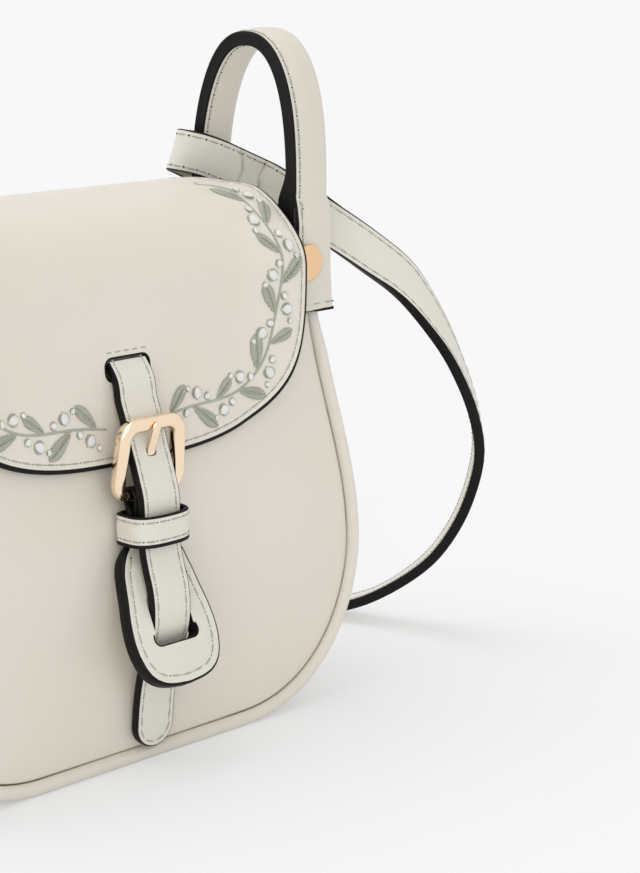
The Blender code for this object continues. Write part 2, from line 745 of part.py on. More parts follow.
def rounded_loop(half_x, low, high, radius):
    """Points of a rectangle with round corners, as (x, z), round from the upper right."""
    loop = []
    for turn, (side, level) in enumerate(((1, high), (-1, high), (-1, low), (1, low))):
        centre_x = side * (half_x - radius)
        centre_z = level - radius if level == high else level + radius
        for step in range(ARC_STEPS // 2 + 1):
            angle = math.radians(90) * (turn + step / (ARC_STEPS // 2))
            loop.append((centre_x + radius * math.cos(angle), centre_z + radius * math.sin(angle)))
    return loop


def ring_faces(count):
    """Faces of a closed ring with four edge loops: outer and inner, on one side and the other."""
    faces = []
    for here in range(count):
        after = (here + 1) % count
        faces.append((here, after, count + after, count + here))
        faces.append((2 * count + here, 3 * count + here, 3 * count + after, 2 * count + after))
        faces.append((here, 2 * count + here, 2 * count + after, after))
        faces.append((count + here, count + after, 3 * count + after, 3 * count + here))
    return faces


def buckle_frame():
    """The buckle's frame: a round-cornered ring with a slim lower bar, leaning forward."""
    name = "buckle_frame"
    top = BUCKLE_BOTTOM + BUCKLE_HEIGHT
    half = BUCKLE_WIDTH / 2
    outer = rounded_loop(half, BUCKLE_BOTTOM, top, BUCKLE_CORNER_RADIUS)
    inner_radius = BUCKLE_CORNER_RADIUS - BUCKLE_BAR
    low = BUCKLE_BOTTOM + BUCKLE_PIN_BAR
    inner = rounded_loop(half - BUCKLE_BAR, low, top - BUCKLE_BAR, inner_radius)
    forward, height = bar_place()
    top_forward, top_height = buckle_top()
    points = []
    for side in (BUCKLE_THICKNESS / 2, -BUCKLE_THICKNESS / 2):
        for loop in (outer, inner):
            for x, z in loop:
                lean = mix(forward, top_forward, (z - height) / (top_height - height))
                points.append((x, -(lean + side), z))
    mesh = closed_mesh(name, points, ring_faces(len(outer)))
    frame = add_object(name, mesh, ROSE_GOLD, (0, -forward, height))
    edge = frame.modifiers.new("soft edges", "BEVEL")
    edge.width = BUCKLE_EDGE_RADIUS
    edge.segments = 2
    edge.limit_method = "ANGLE"
    edge.angle_limit = math.radians(60)
    smooth_shade(frame)


def buckle_prong():
    """The prong: an eye round the lower bar, then a shaft through the strap to the upper bar."""
    name = "buckle_prong"
    forward, height = bar_place()
    radius = fold_radius() + PRONG_THICKNESS / 2
    rows = []
    for step in range(2 * ARC_STEPS):
        angle = math.radians(120) + math.radians(240) * step / (2 * ARC_STEPS)
        place = (forward + radius * math.cos(angle), height + radius * math.sin(angle))
        rows.append((*place, PRONG_THICKNESS, PRONG_WIDTH))
    rows += prong_rows(PRONG_THICKNESS, PRONG_WIDTH, height)
    add_object(name, ribbon_mesh(name, rows), ROSE_GOLD, (0, -forward, height))


def keeper_loop():
    """The leather band that holds the closure strap against the tab's neck."""
    name = "keeper_loop"
    half = KEEPER_WIDTH / 2
    back = forward_of(KEEPER_BACK)
    front = forward_of(KEEPER_FRONT)
    wall = KEEPER_LEATHER
    outer = rounded_loop(half, back, front, KEEPER_CORNER_RADIUS)
    inner = rounded_loop(half - wall, back + wall, front - wall, KEEPER_CORNER_RADIUS - wall)
    points = []
    for z in (KEEPER_BOTTOM, KEEPER_BOTTOM + KEEPER_HEIGHT):
        points += [(x, -forward, z) for loop in (outer, inner) for x, forward in loop]
    add_object(name, closed_mesh(name, points, ring_faces(len(outer))), PALE_LEATHER)


def build_closure():
    """Everything that hangs from the flap's slot."""
    closure_strap()
    closure_tab()
    buckle_frame()
    buckle_prong()
    keeper_loop()


# Side handles


def handle_stations():
    """Stations up a handle's half: outer (y, z), inner (y, z) and extra width towards the middle."""
    half = HANDLE_SPAN / 2
    flare = HANDLE_TAB_WIDTH - HANDLE_WIDTH
    stations = []
    narrowing = HANDLE_TAB_TOP - flare
    for height, share in ((HANDLE_TAB_BOTTOM, 0), (narrowing, 0), (mix(narrowing, HANDLE_TAB_TOP, 0.5), 0.5),
                          (HANDLE_TAB_TOP, 1)):
        inner_y = back_depth(height) + GAP
        stations.append(((inner_y + HANDLE_TAB_LEATHER, height), (inner_y, height), flare * (1 - share)))
    low = back_height() + 2 * GAP
    stations.append(((half + HANDLE_FOLD_OUT, low), (TOP_DEPTH / 2 + GAP, low), 0))
    rise = HANDLE_TOP - HANDLE_LEG_TOP
    power = 2 / HANDLE_ARCH_POWER
    for step in range(HANDLE_ARCH_STEPS // 2 + 1):
        angle = math.radians(90) * step / (HANDLE_ARCH_STEPS // 2)
        along = math.cos(angle) ** power
        up = math.sin(angle) ** power
        outer = (half * along, HANDLE_LEG_TOP + rise * up)
        inner = ((half - HANDLE_THICKNESS) * along, HANDLE_LEG_TOP + (rise - HANDLE_THICKNESS) * up)
        stations.append((outer, inner, 0))
    return stations


def side_handle(name, side):
    """One folded leather handle, from its front tab over the bag's end to its back tab."""
    stations = handle_stations()
    front = [(-1, *station) for station in stations]
    back = [(1, *station) for station in reversed(stations[:-1])]
    outer = []
    inner = []
    inner_edge = HANDLE_INNER_EDGE
    outer_edge = HANDLE_INNER_EDGE + HANDLE_WIDTH
    for facing, outer_place, inner_place, widening in front + back:
        for rows, (y, z) in ((outer, outer_place), (inner, inner_place)):
            lean = HANDLE_LEAN * ease(z, HANDLE_LEG_TOP, HANDLE_TOP - HANDLE_LEG_TOP)
            place = facing * y - lean
            rows.append([(side * (inner_edge - widening), place, z), (side * outer_edge, place, z)])
    return add_object(name, sheet_mesh(name, outer, inner), PALE_LEATHER)


def rivet(name, side, facing):
    """A rivet through handle tab and panel: a shank that ends in the panel, and a domed cap."""
    face = back_depth(RIVET_HEIGHT)
    panel_face = face if facing > 0 else front_depth(RIVET_HEIGHT)
    cap_low = face + 2 * GAP + HANDLE_TAB_LEATHER
    shank = RIVET_SHANK_DIAMETER / 2
    cap = RIVET_CAP_DIAMETER / 2
    profile = [
        (panel_face - SHELL_LEATHER, shank),
        (cap_low, shank),
        (cap_low, cap),
        (cap_low + RIVET_CAP_EDGE, cap),
    ]
    dome = RIVET_CAP_THICKNESS - RIVET_CAP_EDGE
    for step in range(1, ARC_STEPS // 2):
        angle = math.radians(90) * step / (ARC_STEPS // 2)
        profile.append((cap_low + RIVET_CAP_EDGE + dome * math.sin(angle), cap * math.cos(angle)))
    mesh = turned_mesh(name, profile, (side * RIVET_OFFSET, 0, RIVET_HEIGHT), facing)
    smooth_shade(add_object(name, mesh, ROSE_GOLD))


def rivet_guide(name, side):
    """The guide for one side's rivet holes, right through the bag."""
    radius = RIVET_HOLE_DIAMETER / 2
    reach = BASE_DEPTH
    mesh = turned_mesh(name, [(-reach, radius), (reach, radius)], (side * RIVET_OFFSET, 0, RIVET_HEIGHT), 1)
    return add_guide(name, mesh)


def build_handles(drilled):
    """Both side handles with their rivets, and the holes those rivets go through."""
    for side, word in ((1, "right"), (-1, "left")):
        handle = side_handle("side_handle_" + word, side)
        guide = rivet_guide("rivet_guide_" + word, side)
        for item in [*drilled, handle]:
            cut(item, guide)
        rivet("rivet_front_" + word, side, -1)
        rivet("rivet_back_" + word, side, 1)


# Shoulder strap


def smooth_points(points, closest):
    """Points along one smooth curve through the given ones, no nearer than a distance."""
    result = []
    for index in range(len(points) - 1):
        around = [points[min(max(index + shift, 0), len(points) - 1)] for shift in (-1, 0, 1, 2)]
        length = (Vector(around[2][:3]) - Vector(around[1][:3])).length
        steps = max(1, round(length / closest))
        for step in range(steps):
            t = step / steps
            row = []
            for a, b, c, d in zip(*around):
                bend = (2 * b + (c - a) * t + (2 * a - 5 * b + 4 * c - d) * t * t)
                row.append((bend + (3 * b - a - 3 * c + d) * t ** 3) / 2)
            result.append(tuple(row))
    result.append(points[-1])
    return result


def strap_mesh(name, places, fronts):
    """A flat strap along places, its width lying along the given directions."""
    outer = []
    inner = []
    for index, place in enumerate(places):
        before = places[max(index - 1, 0)]
        after = places[min(index + 1, len(places) - 1)]
        along = (after - before).normalized()
        across = (fronts[index] - along * fronts[index].dot(along)).normalized()
        out = along.cross(across) * STRAP_LEATHER / 2
        half = across * STRAP_WIDTH / 2
        outer.append([place - half + out, place + half + out])
        inner.append([place - half - out, place + half - out])
    return sheet_mesh(name, outer, inner)


def shoulder_strap():
    """The free strap, from the right end's fold round behind the bag to the left end's fold."""
    name = "shoulder_strap"
    right = smooth_points(STRAP_ROUTE, STRAP_WIDTH * STRAP_STEP_SHARE)
    places = []
    fronts = []
    for x, y, z, lean, heading in right:
        angle = math.radians(heading)
        places.append(Vector((x, y, z)))
        fronts.append(Vector((lean * math.cos(angle), lean * math.sin(angle), 1 - lean)))
    for place, front in list(zip(places, fronts))[-2::-1]:
        places.append(Vector((-place.x, place.y, place.z)))
        fronts.append(Vector((-front.x, front.y, front.z)))
    return add_object(name, strap_mesh(name, places, fronts), PALE_LEATHER)


def strap_end(name, side):
    """The strap's end, folded round the handle's back leg and sewn back on itself."""
    points = smooth_points(STRAP_END_ROUTE, STRAP_WIDTH * STRAP_STEP_SHARE / 2)
    places = [Vector((side * x, y, z)) for x, y, z in points]
    fronts = [Vector((0, 0, 1)) for _ in places]
    return add_object(name, strap_mesh(name, places, fronts), PALE_LEATHER)


def build_strap():
    """The shoulder strap and its two sewn ends."""
    shoulder_strap()
    strap_end("strap_end_right", 1)
    strap_end("strap_end_left", -1)


def main():
    """Build the whole bag."""
    clear_scene()
    drilled = build_shell()
    build_flap()
    build_closure()
    build_handles(drilled)
    build_strap()


main()
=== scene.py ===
"""Dressed scene of a small flap crossbody bag: leather, painted edges, seams, embroidery and metal.

Every leather piece is laid out flat, as a maker cuts it, and then laid along the line that it follows.
Seams and embroidery are laid out flat too, made by Geometry Nodes, and bent with their leather.
"""
import logging
import math
from dataclasses import dataclass, field
from enum import Enum
from typing import Callable, Optional, Sequence

import bmesh
import bpy
import numpy as np
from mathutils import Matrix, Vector


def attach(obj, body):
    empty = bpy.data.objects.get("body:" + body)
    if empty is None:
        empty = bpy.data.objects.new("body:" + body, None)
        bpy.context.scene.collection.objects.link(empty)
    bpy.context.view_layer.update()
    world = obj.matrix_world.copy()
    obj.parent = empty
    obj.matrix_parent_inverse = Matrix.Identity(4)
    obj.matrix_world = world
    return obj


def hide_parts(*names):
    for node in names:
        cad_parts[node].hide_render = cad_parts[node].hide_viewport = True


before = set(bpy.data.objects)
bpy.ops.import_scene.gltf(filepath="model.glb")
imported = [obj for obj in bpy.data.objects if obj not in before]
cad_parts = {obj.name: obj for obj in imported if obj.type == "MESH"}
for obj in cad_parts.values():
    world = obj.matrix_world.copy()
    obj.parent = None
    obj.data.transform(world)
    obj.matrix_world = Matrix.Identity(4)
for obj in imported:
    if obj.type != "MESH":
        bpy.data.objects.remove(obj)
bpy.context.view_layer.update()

LOG = logging.getLogger("crossbody_bag")
Array = np.ndarray
Relief = Callable[[Array, Array], Array]
Tree = bpy.types.NodeTree
Socket = bpy.types.NodeSocket
Mesh = bpy.types.Mesh
Piece = bpy.types.Object
Material = bpy.types.Material
SHARP_ANGLE = 50.0
WELD_DISTANCE = 2e-6


class Choice(Enum):
    """A choice that the nodes' names spell out."""

    @property
    def word(self) -> str:
        """The choice's name as the nodes spell it."""
        return self.name.lower()


class Side(Choice):
    """The end of the bag that a piece belongs to, seen from the front."""

    RIGHT = 1
    LEFT = -1


class Facing(Choice):
    """Whether a panel faces the front or the back."""

    FRONT = -1
    BACK = 1


def ease(value: Array, start: float, length: float) -> Array:
    """Smooth step.

    Args:
        value: Places to read the step at.
        start: Where it leaves 0.
        length: Distance over which it reaches 1.

    Returns:
        Values from 0 to 1.
    """
    share = np.clip((np.asarray(value, float) - start) / length, 0, 1)
    return share * share * (3 - 2 * share)


def mix(first: Array, second: Array, share: Array) -> Array:
    """Blend two values.

    Args:
        first: Value at share 0.
        second: Value at share 1.
        share: How far to go.

    Returns:
        The blended value.
    """
    return first + (second - first) * share


def run_of(points: Array) -> Array:
    """Distance of each point along a line.

    Args:
        points: The line's points, one per row.

    Returns:
        One distance for each point, the first of them 0.
    """
    steps = np.linalg.norm(np.diff(points, axis=0), axis=1)
    return np.concatenate([[0.0], np.cumsum(steps)])


def smooth_rows(rows: Sequence[Sequence[float]], step: float, keys: int = 3) -> Array:
    """Rows along one smooth curve through the given ones.

    Args:
        rows: Places with any further values that change along the curve.
        step: Distance between the new rows.
        keys: How many of the first values are the place.

    Returns:
        The new rows, with the first and last as given.
    """
    given = np.asarray(rows, float)
    result = []
    for index in range(len(given) - 1):
        a, b, c, d = (given[min(max(index + shift, 0), len(given) - 1)] for shift in (-1, 0, 1, 2))
        count = max(1, round(float(np.linalg.norm(c[:keys] - b[:keys])) / step))
        for t in np.arange(count) / count:
            bend = 2 * b + (c - a) * t + (2 * a - 5 * b + 4 * c - d) * t * t
            result.append((bend + (3 * b - a - 3 * c + d) * t ** 3) / 2)
    result.append(given[-1])
    return np.array(result)


def read_points(mesh: Mesh) -> Array:
    """Read the vertex places of a mesh.

    Args:
        mesh: The mesh to read.

    Returns:
        One place for each vertex.
    """
    values = np.zeros(len(mesh.vertices) * 3, np.float32)
    mesh.vertices.foreach_get("co", values)
    return values.reshape(-1, 3).astype(float)


def write_points(mesh: Mesh, points: Array) -> None:
    """Move all vertices of a mesh.

    Args:
        mesh: The mesh to change.
        points: One place for each vertex.
    """
    mesh.vertices.foreach_set("co", points.astype(np.float32).ravel())
    mesh.update()


class Lay:
    """The line that a piece of leather runs along, with its across and outward directions."""

    def __init__(self, points: Array, across: Array, closed: bool = False) -> None:
        """Set the line out.

        Args:
            points: Dense places along it.
            across: Direction of the leather's width, one for all or one for each place.
            closed: Whether the line comes back to its start.
        """
        self.points = np.asarray(points, float)
        self.runs = run_of(self.points)
        if closed:
            around = np.vstack([self.points[-2], self.points, self.points[1]])
            tangent = around[2:] - around[:-2]
        else:
            tangent = np.gradient(self.points, axis=0)
        self.tangent = self.unit(tangent)
        wide = np.broadcast_to(np.asarray(across, float), self.points.shape)
        wide = wide - self.tangent * np.sum(wide * self.tangent, axis=1, keepdims=True)
        self.across = self.unit(wide)
        self.outward = np.cross(self.tangent, self.across)

    @staticmethod
    def unit(vectors: Array) -> Array:
        """The vectors at length one."""
        return vectors / np.linalg.norm(vectors, axis=1, keepdims=True)

    @property
    def length(self) -> float:
        """Length of the whole line."""
        return float(self.runs[-1])

    def read(self, table: Array, run: Array) -> Array:
        """Values of a table at distances along the line.

        Args:
            table: One row for each point of the line.
            run: The distances.

        Returns:
            One row for each distance.
        """
        return np.stack([np.interp(run, self.runs, table[:, axis]) for axis in range(3)], axis=1)

    def place(self, flat: Array) -> Array:
        """Lay flat work along the line.

        Args:
            flat: Rows of distance across, distance along and height above the line.

        Returns:
            The places in the bag's own frame.
        """
        run = flat[:, 1]
        over = (run - np.clip(run, 0, self.length))[:, None]
        base = self.read(self.points, run) + over * self.read(self.tangent, run)
        across = self.unit(self.read(self.across, run))
        outward = self.unit(self.read(self.outward, run))
        return base + across * flat[:, :1] + outward * flat[:, 2:3]


# Node trees


def add_node(tree: Tree, kind: str, inputs: Optional[dict] = None, **settings: object) -> bpy.types.Node:
    """Add a node with its settings, values and links.

    Args:
        tree: The tree that gets the node.
        kind: The node's type name.
        inputs: Value or output socket for each input, by name or number.
        settings: Properties of the node itself.

    Returns:
        The node.
    """
    node = tree.nodes.new(kind)
    for name, value in settings.items():
        setattr(node, name, value)
    for name, value in (inputs or {}).items():
        if isinstance(value, Socket):
            tree.links.new(value, node.inputs[name])
        else:
            node.inputs[name].default_value = value
    return node


def compute(tree: Tree, operation: str, *values: object) -> Socket:
    """Add a Math node.

    Args:
        tree: The tree that gets the node.
        operation: The Math node's operation.
        values: Its inputs, numbers or sockets.

    Returns:
        Its output socket.
    """
    return add_node(tree, "ShaderNodeMath", dict(enumerate(values)), operation=operation).outputs[0]


def new_tree(name: str, kind: str, inputs: dict, outputs: dict) -> tuple:
    """Start a node group with named sockets.

    Args:
        name: The group's name.
        kind: Type of the tree.
        inputs: Socket type and default value for each input name.
        outputs: Socket type for each output name.

    Returns:
        The group, its input node and its output node.
    """
    group = bpy.data.node_groups.new(name, kind)
    for label, (socket, value) in inputs.items():
        item = group.interface.new_socket(label, in_out="INPUT", socket_type=socket)
        if value is not None:
            item.default_value = value
    for label, socket in outputs.items():
        group.interface.new_socket(label, in_out="OUTPUT", socket_type=socket)
    return group, group.nodes.new("NodeGroupInput"), group.nodes.new("NodeGroupOutput")


FLOAT = "NodeSocketFloat"
VECTOR = "NodeSocketVector"
COLOUR = "NodeSocketColor"
GEOMETRY = "NodeSocketGeometry"
MATERIAL = "NodeSocketMaterial"


class SewingTree:
    """Geometry Nodes that sew thread along a flat line, with a dark bead after each stitch: painted shade in
    its needle hole.
    """

    def __init__(self) -> None:
        """Build the tree."""
        tree, start, end = new_tree("sewn_row", "GeometryNodeTree", {
            "Line": (GEOMETRY, None), "Pitch": (FLOAT, 0.0044), "Stitch Length": (FLOAT, 0.0033),
            "Thread Width": (FLOAT, 0.00062), "Thread Height": (FLOAT, 0.0006), "Slant": (FLOAT, 0.0),
            "Hole Width": (FLOAT, 0.0007), "Thread": (MATERIAL, None), "Hole": (MATERIAL, None),
        }, {"Sewing": GEOMETRY})
        given = start.outputs
        curve = add_node(tree, "GeometryNodeMeshToCurve", {"Mesh": given["Line"]})
        spaced = add_node(tree, "GeometryNodeResampleCurve", {"Curve": curve.outputs[0]}, mode="LENGTH")
        tree.links.new(given["Pitch"], spaced.inputs["Length"])
        tangent = add_node(tree, "GeometryNodeInputTangent")
        turn = add_node(tree, "FunctionNodeAlignRotationToVector", {"Vector": tangent.outputs[0]},
                        axis="X", pivot_axis="Z")
        slant = add_node(tree, "ShaderNodeCombineXYZ", {"Z": given["Slant"]})
        slanted = add_node(tree, "FunctionNodeRotateRotation", {
            "Rotation": turn.outputs[0], "Rotate By": slant.outputs[0]}, rotation_space="LOCAL")
        halves = [compute(tree, "MULTIPLY", given[name], 0.5)
                  for name in ("Stitch Length", "Thread Width", "Thread Height")]
        shape = add_node(tree, "ShaderNodeCombineXYZ", dict(enumerate(halves)))
        thread = self.bead(tree, shape.outputs[0], (0, 0, 0), 8, 5)
        # Each needle hole is a dark flat bead just under the thread: painted shade in the hole
        hole_half = compute(tree, "MULTIPLY", given["Hole Width"], 0.5)
        hole_size = add_node(tree, "ShaderNodeCombineXYZ", {
            0: hole_half, 1: hole_half, 2: compute(tree, "MULTIPLY", hole_half, 0.5)})
        ahead = add_node(tree, "ShaderNodeCombineXYZ", {
            0: compute(tree, "MULTIPLY", given["Pitch"], 0.5),
            2: compute(tree, "MULTIPLY", halves[2], -0.45)})
        hole = self.bead(tree, hole_size.outputs[0], ahead.outputs[0], 6, 4)
        joined = add_node(tree, "GeometryNodeJoinGeometry")
        for piece, finish in ((thread, "Thread"), (hole, "Hole")):
            rows = add_node(tree, "GeometryNodeInstanceOnPoints", {
                "Points": spaced.outputs[0], "Instance": piece, "Rotation": slanted.outputs[0]})
            real = add_node(tree, "GeometryNodeRealizeInstances", {"Geometry": rows.outputs[0]})
            dressed = add_node(tree, "GeometryNodeSetMaterial", {
                "Geometry": real.outputs[0], "Material": given[finish]})
            tree.links.new(dressed.outputs[0], joined.inputs[0])
        tree.links.new(joined.outputs[0], end.inputs["Sewing"])
        self.tree = tree

    @staticmethod
    def bead(tree: Tree, scale: object, shift: object, segments: int, rings: int) -> Socket:
        """A smooth round bead to be instanced.

        Args:
            tree: The tree that gets it.
            scale: Its half sizes.
            shift: Its place.
            segments: Faces round it.
            rings: Faces along it.

        Returns:
            The socket that holds its geometry.
        """
        ball = add_node(tree, "GeometryNodeMeshUVSphere", {
            "Segments": segments, "Rings": rings, "Radius": 1.0})
        moved = add_node(tree, "GeometryNodeTransform", {
            "Geometry": ball.outputs[0], "Translation": shift, "Scale": scale})
        smooth = add_node(tree, "GeometryNodeSetShadeSmooth", {"Geometry": moved.outputs[0]})
        return smooth.outputs[0]


class SatinTree:
    """Geometry Nodes that fill leaves or round berries with lying threads, one for each given point."""

    def __init__(self, name: str, threads: int, leaf: bool) -> None:
        """Build the tree.

        Args:
            name: The tree's name.
            threads: Number of threads in each motif.
            leaf: Whether the motif is a leaf with two slanted halves, and not a round berry.
        """
        tree, start, end = new_tree(name, "GeometryNodeTree", {
            "Places": (GEOMETRY, None), "Length": (FLOAT, 0.010), "Width": (FLOAT, 0.004),
            "Thread Radius": (FLOAT, 0.0003), "Slant": (FLOAT, 0.9), "Dome": (FLOAT, 0.0003),
            "Finish": (MATERIAL, None),
        }, {"Embroidery": GEOMETRY})
        given = start.outputs
        last = threads - 1
        share = compute(tree, "DIVIDE", add_node(tree, "GeometryNodeInputIndex").outputs[0], last)
        reach = compute(tree, "SINE", compute(tree, "MULTIPLY", compute(tree, "POWER", share, 0.8), math.pi))
        if not leaf:
            level = compute(tree, "SUBTRACT", compute(tree, "MULTIPLY", share, 2.0), 1.0)
            square = compute(tree, "MULTIPLY", level, level)
            reach = compute(tree, "SQRT", compute(tree, "SUBTRACT", 1.02, square))
        step = add_node(tree, "ShaderNodeCombineXYZ", {0: compute(tree, "DIVIDE", given["Length"], last)})
        back = add_node(tree, "ShaderNodeCombineXYZ", {
            0: 0.0 if leaf else compute(tree, "MULTIPLY", given["Length"], -0.5)})
        spine = add_node(tree, "GeometryNodeMeshLine", {
            "Count": threads, "Start Location": back.outputs[0], "Offset": step.outputs[0]})
        raised = add_node(tree, "ShaderNodeCombineXYZ", {2: compute(tree, "MULTIPLY", reach, given["Dome"])})
        spine = add_node(tree, "GeometryNodeSetPosition", {
            "Geometry": spine.outputs[0], "Offset": raised.outputs[0]})
        ball = add_node(tree, "GeometryNodeMeshUVSphere", {"Segments": 6, "Rings": 4, "Radius": 1.0})
        base = add_node(tree, "GeometryNodeTransform", {
            "Geometry": ball.outputs[0], "Translation": (1.0 if leaf else 0.0, 0.0, 0.0)})
        base = add_node(tree, "GeometryNodeSetShadeSmooth", {"Geometry": base.outputs[0]})
        whole = compute(tree, "MULTIPLY", reach, given["Width"])
        wide = compute(tree, "MULTIPLY", whole, 0.31 if leaf else 0.5)
        size = add_node(tree, "ShaderNodeCombineXYZ", {
            0: compute(tree, "ADD", wide, given["Thread Radius"]), 1: given["Thread Radius"],
            2: given["Thread Radius"]})
        motif = add_node(tree, "GeometryNodeJoinGeometry")
        for sign in ((1, -1) if leaf else (1,)):
            angle = compute(tree, "MULTIPLY", given["Slant"], float(sign))
            turn = add_node(tree, "ShaderNodeCombineXYZ", {2: angle})
            threads_laid = add_node(tree, "GeometryNodeInstanceOnPoints", {
                "Points": spine.outputs[0], "Instance": base.outputs[0], "Rotation": turn.outputs[0],
                "Scale": size.outputs[0]})
            tree.links.new(threads_laid.outputs[0], motif.inputs[0])
        heading = add_node(tree, "GeometryNodeInputNamedAttribute", {"Name": "turn"}, data_type="FLOAT")
        scale = add_node(tree, "GeometryNodeInputNamedAttribute", {"Name": "size"}, data_type="FLOAT")
        spin = add_node(tree, "ShaderNodeCombineXYZ", {2: heading.outputs[0]})
        placed = add_node(tree, "GeometryNodeInstanceOnPoints", {
            "Points": given["Places"], "Instance": motif.outputs[0], "Rotation": spin.outputs[0],
            "Scale": scale.outputs[0]})
        real = add_node(tree, "GeometryNodeRealizeInstances", {"Geometry": placed.outputs[0]})
        dressed = add_node(tree, "GeometryNodeSetMaterial", {
            "Geometry": real.outputs[0], "Material": given["Finish"]})
        tree.links.new(dressed.outputs[0], end.inputs["Embroidery"])
        self.tree = tree


def grow(tree: Tree, base: Mesh, values: dict) -> Mesh:
    """Run a Geometry Nodes tree on a mesh and keep the result as a plain mesh.

    Args:
        tree: The tree.
        base: The mesh that it starts from.
        values: Value for each input name.

    Returns:
        The made mesh.
    """
    item = bpy.data.objects.new("growing", base)
    bpy.context.scene.collection.objects.link(item)
    modifier = item.modifiers.new("growing", "NODES")
    modifier.node_group = tree
    for socket in tree.interface.items_tree:
        if socket.in_out == "INPUT" and socket.name in values:
            modifier[socket.identifier] = values[socket.name]
    result = applied(item)
    bpy.data.objects.remove(item)
    bpy.data.meshes.remove(base)
    return result


def applied(item: Piece) -> Mesh:
    """Take an object's modifiers off.

    Args:
        item: The object, which keeps its own mesh.

    Returns:
        A new mesh as the modifiers made it.
    """
    mesh = bpy.data.meshes.new_from_object(item.evaluated_get(bpy.context.evaluated_depsgraph_get()))
    item.modifiers.clear()
    return mesh


# Finishes


class ShaderGroups:
    """The shader node groups that several finishes share."""

    def __init__(self) -> None:
        """Build every group once."""
        self.grain = self.build_grain()
        self.patina = self.build_patina()
        self.weave = self.build_weave()

    @staticmethod
    def build_grain() -> Tree:
        """Fine pebble grain with pores.

        Returns:
            A group with a height and a pore mask.
        """
        tree, start, end = new_tree("leather_grain", "ShaderNodeTree", {
            "Vector": (VECTOR, None), "Pebble Scale": (FLOAT, 900.0), "Pore Scale": (FLOAT, 2600.0),
        }, {"Height": FLOAT, "Pores": FLOAT})
        given = start.outputs
        bend = add_node(tree, "ShaderNodeTexNoise", {
            "Vector": given["Vector"], "Detail": 2.0,
            "Scale": compute(tree, "MULTIPLY", given["Pebble Scale"], 0.35)})
        wobble = add_node(tree, "ShaderNodeVectorMath", {
            0: bend.outputs["Color"], "Scale": 0.0012}, operation="SCALE")
        bent = add_node(tree, "ShaderNodeVectorMath", {
            0: given["Vector"], 1: wobble.outputs[0]}, operation="ADD")
        pebble = add_node(tree, "ShaderNodeTexVoronoi", {
            "Vector": bent.outputs[0], "Scale": given["Pebble Scale"], "Randomness": 1.0,
            "Smoothness": 0.6}, feature="SMOOTH_F1")
        pore = add_node(tree, "ShaderNodeTexNoise", {
            "Vector": given["Vector"], "Scale": given["Pore Scale"], "Detail": 3.0, "Roughness": 0.6})
        dots = add_node(tree, "ShaderNodeMapRange", {
            "Value": pore.outputs["Fac"], "From Min": 0.62, "From Max": 0.74})
        rise = compute(tree, "SUBTRACT", 1.0, pebble.outputs["Distance"])
        height = compute(tree, "SUBTRACT", rise, compute(tree, "MULTIPLY", dots.outputs[0], 0.35))
        tree.links.new(height, end.inputs["Height"])
        tree.links.new(dots.outputs[0], end.inputs["Pores"])
        return tree

    @staticmethod
    def build_patina() -> Tree:
        """Slow changes of tone and gloss over a piece, with painted shade in the leather's pores and the
        weave's lower threads.

        Returns:
            A group with a colour and a roughness.
        """
        tree, start, end = new_tree("patina", "ShaderNodeTree", {
            "Vector": (VECTOR, None), "Colour": (COLOUR, (0.8, 0.8, 0.8, 1.0)),
            "Deep Colour": (COLOUR, (0.7, 0.7, 0.7, 1.0)), "Scale": (FLOAT, 22.0),
            "Roughness": (FLOAT, 0.45), "Roughness Play": (FLOAT, 0.08), "Pores": (FLOAT, 0.0),
        }, {"Colour": COLOUR, "Roughness": FLOAT})
        given = start.outputs
        clouds = add_node(tree, "ShaderNodeTexNoise", {
            "Vector": given["Vector"], "Scale": given["Scale"], "Detail": 4.0, "Roughness": 0.55})
        fine = add_node(tree, "ShaderNodeTexNoise", {
            "Vector": given["Vector"], "Detail": 3.0,
            "Scale": compute(tree, "MULTIPLY", given["Scale"], 19.0)})
        tone = add_node(tree, "ShaderNodeMapRange", {
            "Value": clouds.outputs["Fac"], "From Min": 0.35, "From Max": 0.68})
        speck = compute(tree, "MULTIPLY", fine.outputs["Fac"], 0.3)
        share = compute(tree, "ADD", compute(tree, "MULTIPLY", tone.outputs[0], 0.7), speck)
        # Pores, and the weave's lower threads, lean to the deep colour: painted shade in these hollows
        share = compute(tree, "MAXIMUM", share, compute(tree, "MULTIPLY", given["Pores"], 0.8))
        colour = add_node(tree, "ShaderNodeMix", {0: share}, data_type="RGBA")
        tree.links.new(given["Colour"], colour.inputs[6])
        tree.links.new(given["Deep Colour"], colour.inputs[7])
        even = compute(tree, "SUBTRACT", fine.outputs["Fac"], 0.5)
        swing = compute(tree, "MULTIPLY", even, given["Roughness Play"])
        tree.links.new(colour.outputs[2], end.inputs["Colour"])
        tree.links.new(compute(tree, "ADD", given["Roughness"], swing), end.inputs["Roughness"])
        return tree

    @staticmethod
    def build_weave() -> Tree:
        """Plain weave that follows a piece's own UV map.

        Returns:
            A group with a height and a mask of the lower threads, which take painted shade.
        """
        tree, start, end = new_tree("weave", "ShaderNodeTree", {
            "Vector": (VECTOR, None), "Threads": (FLOAT, 2200.0),
        }, {"Height": FLOAT, "Shade": FLOAT})
        given = start.outputs
        parts = add_node(tree, "ShaderNodeSeparateXYZ", {0: given["Vector"]})
        waves = []
        for axis in (0, 1):
            phase = compute(tree, "MULTIPLY", parts.outputs[axis], given["Threads"])
            waves.append(compute(tree, "SINE", compute(tree, "MULTIPLY", phase, math.pi)))
        height = compute(tree, "ABSOLUTE", compute(tree, "ADD", waves[0], waves[1]))
        tree.links.new(height, end.inputs["Height"])
        half = compute(tree, "MULTIPLY", height, 0.5)
        tree.links.new(compute(tree, "SUBTRACT", 1.0, half), end.inputs["Shade"])
        return tree


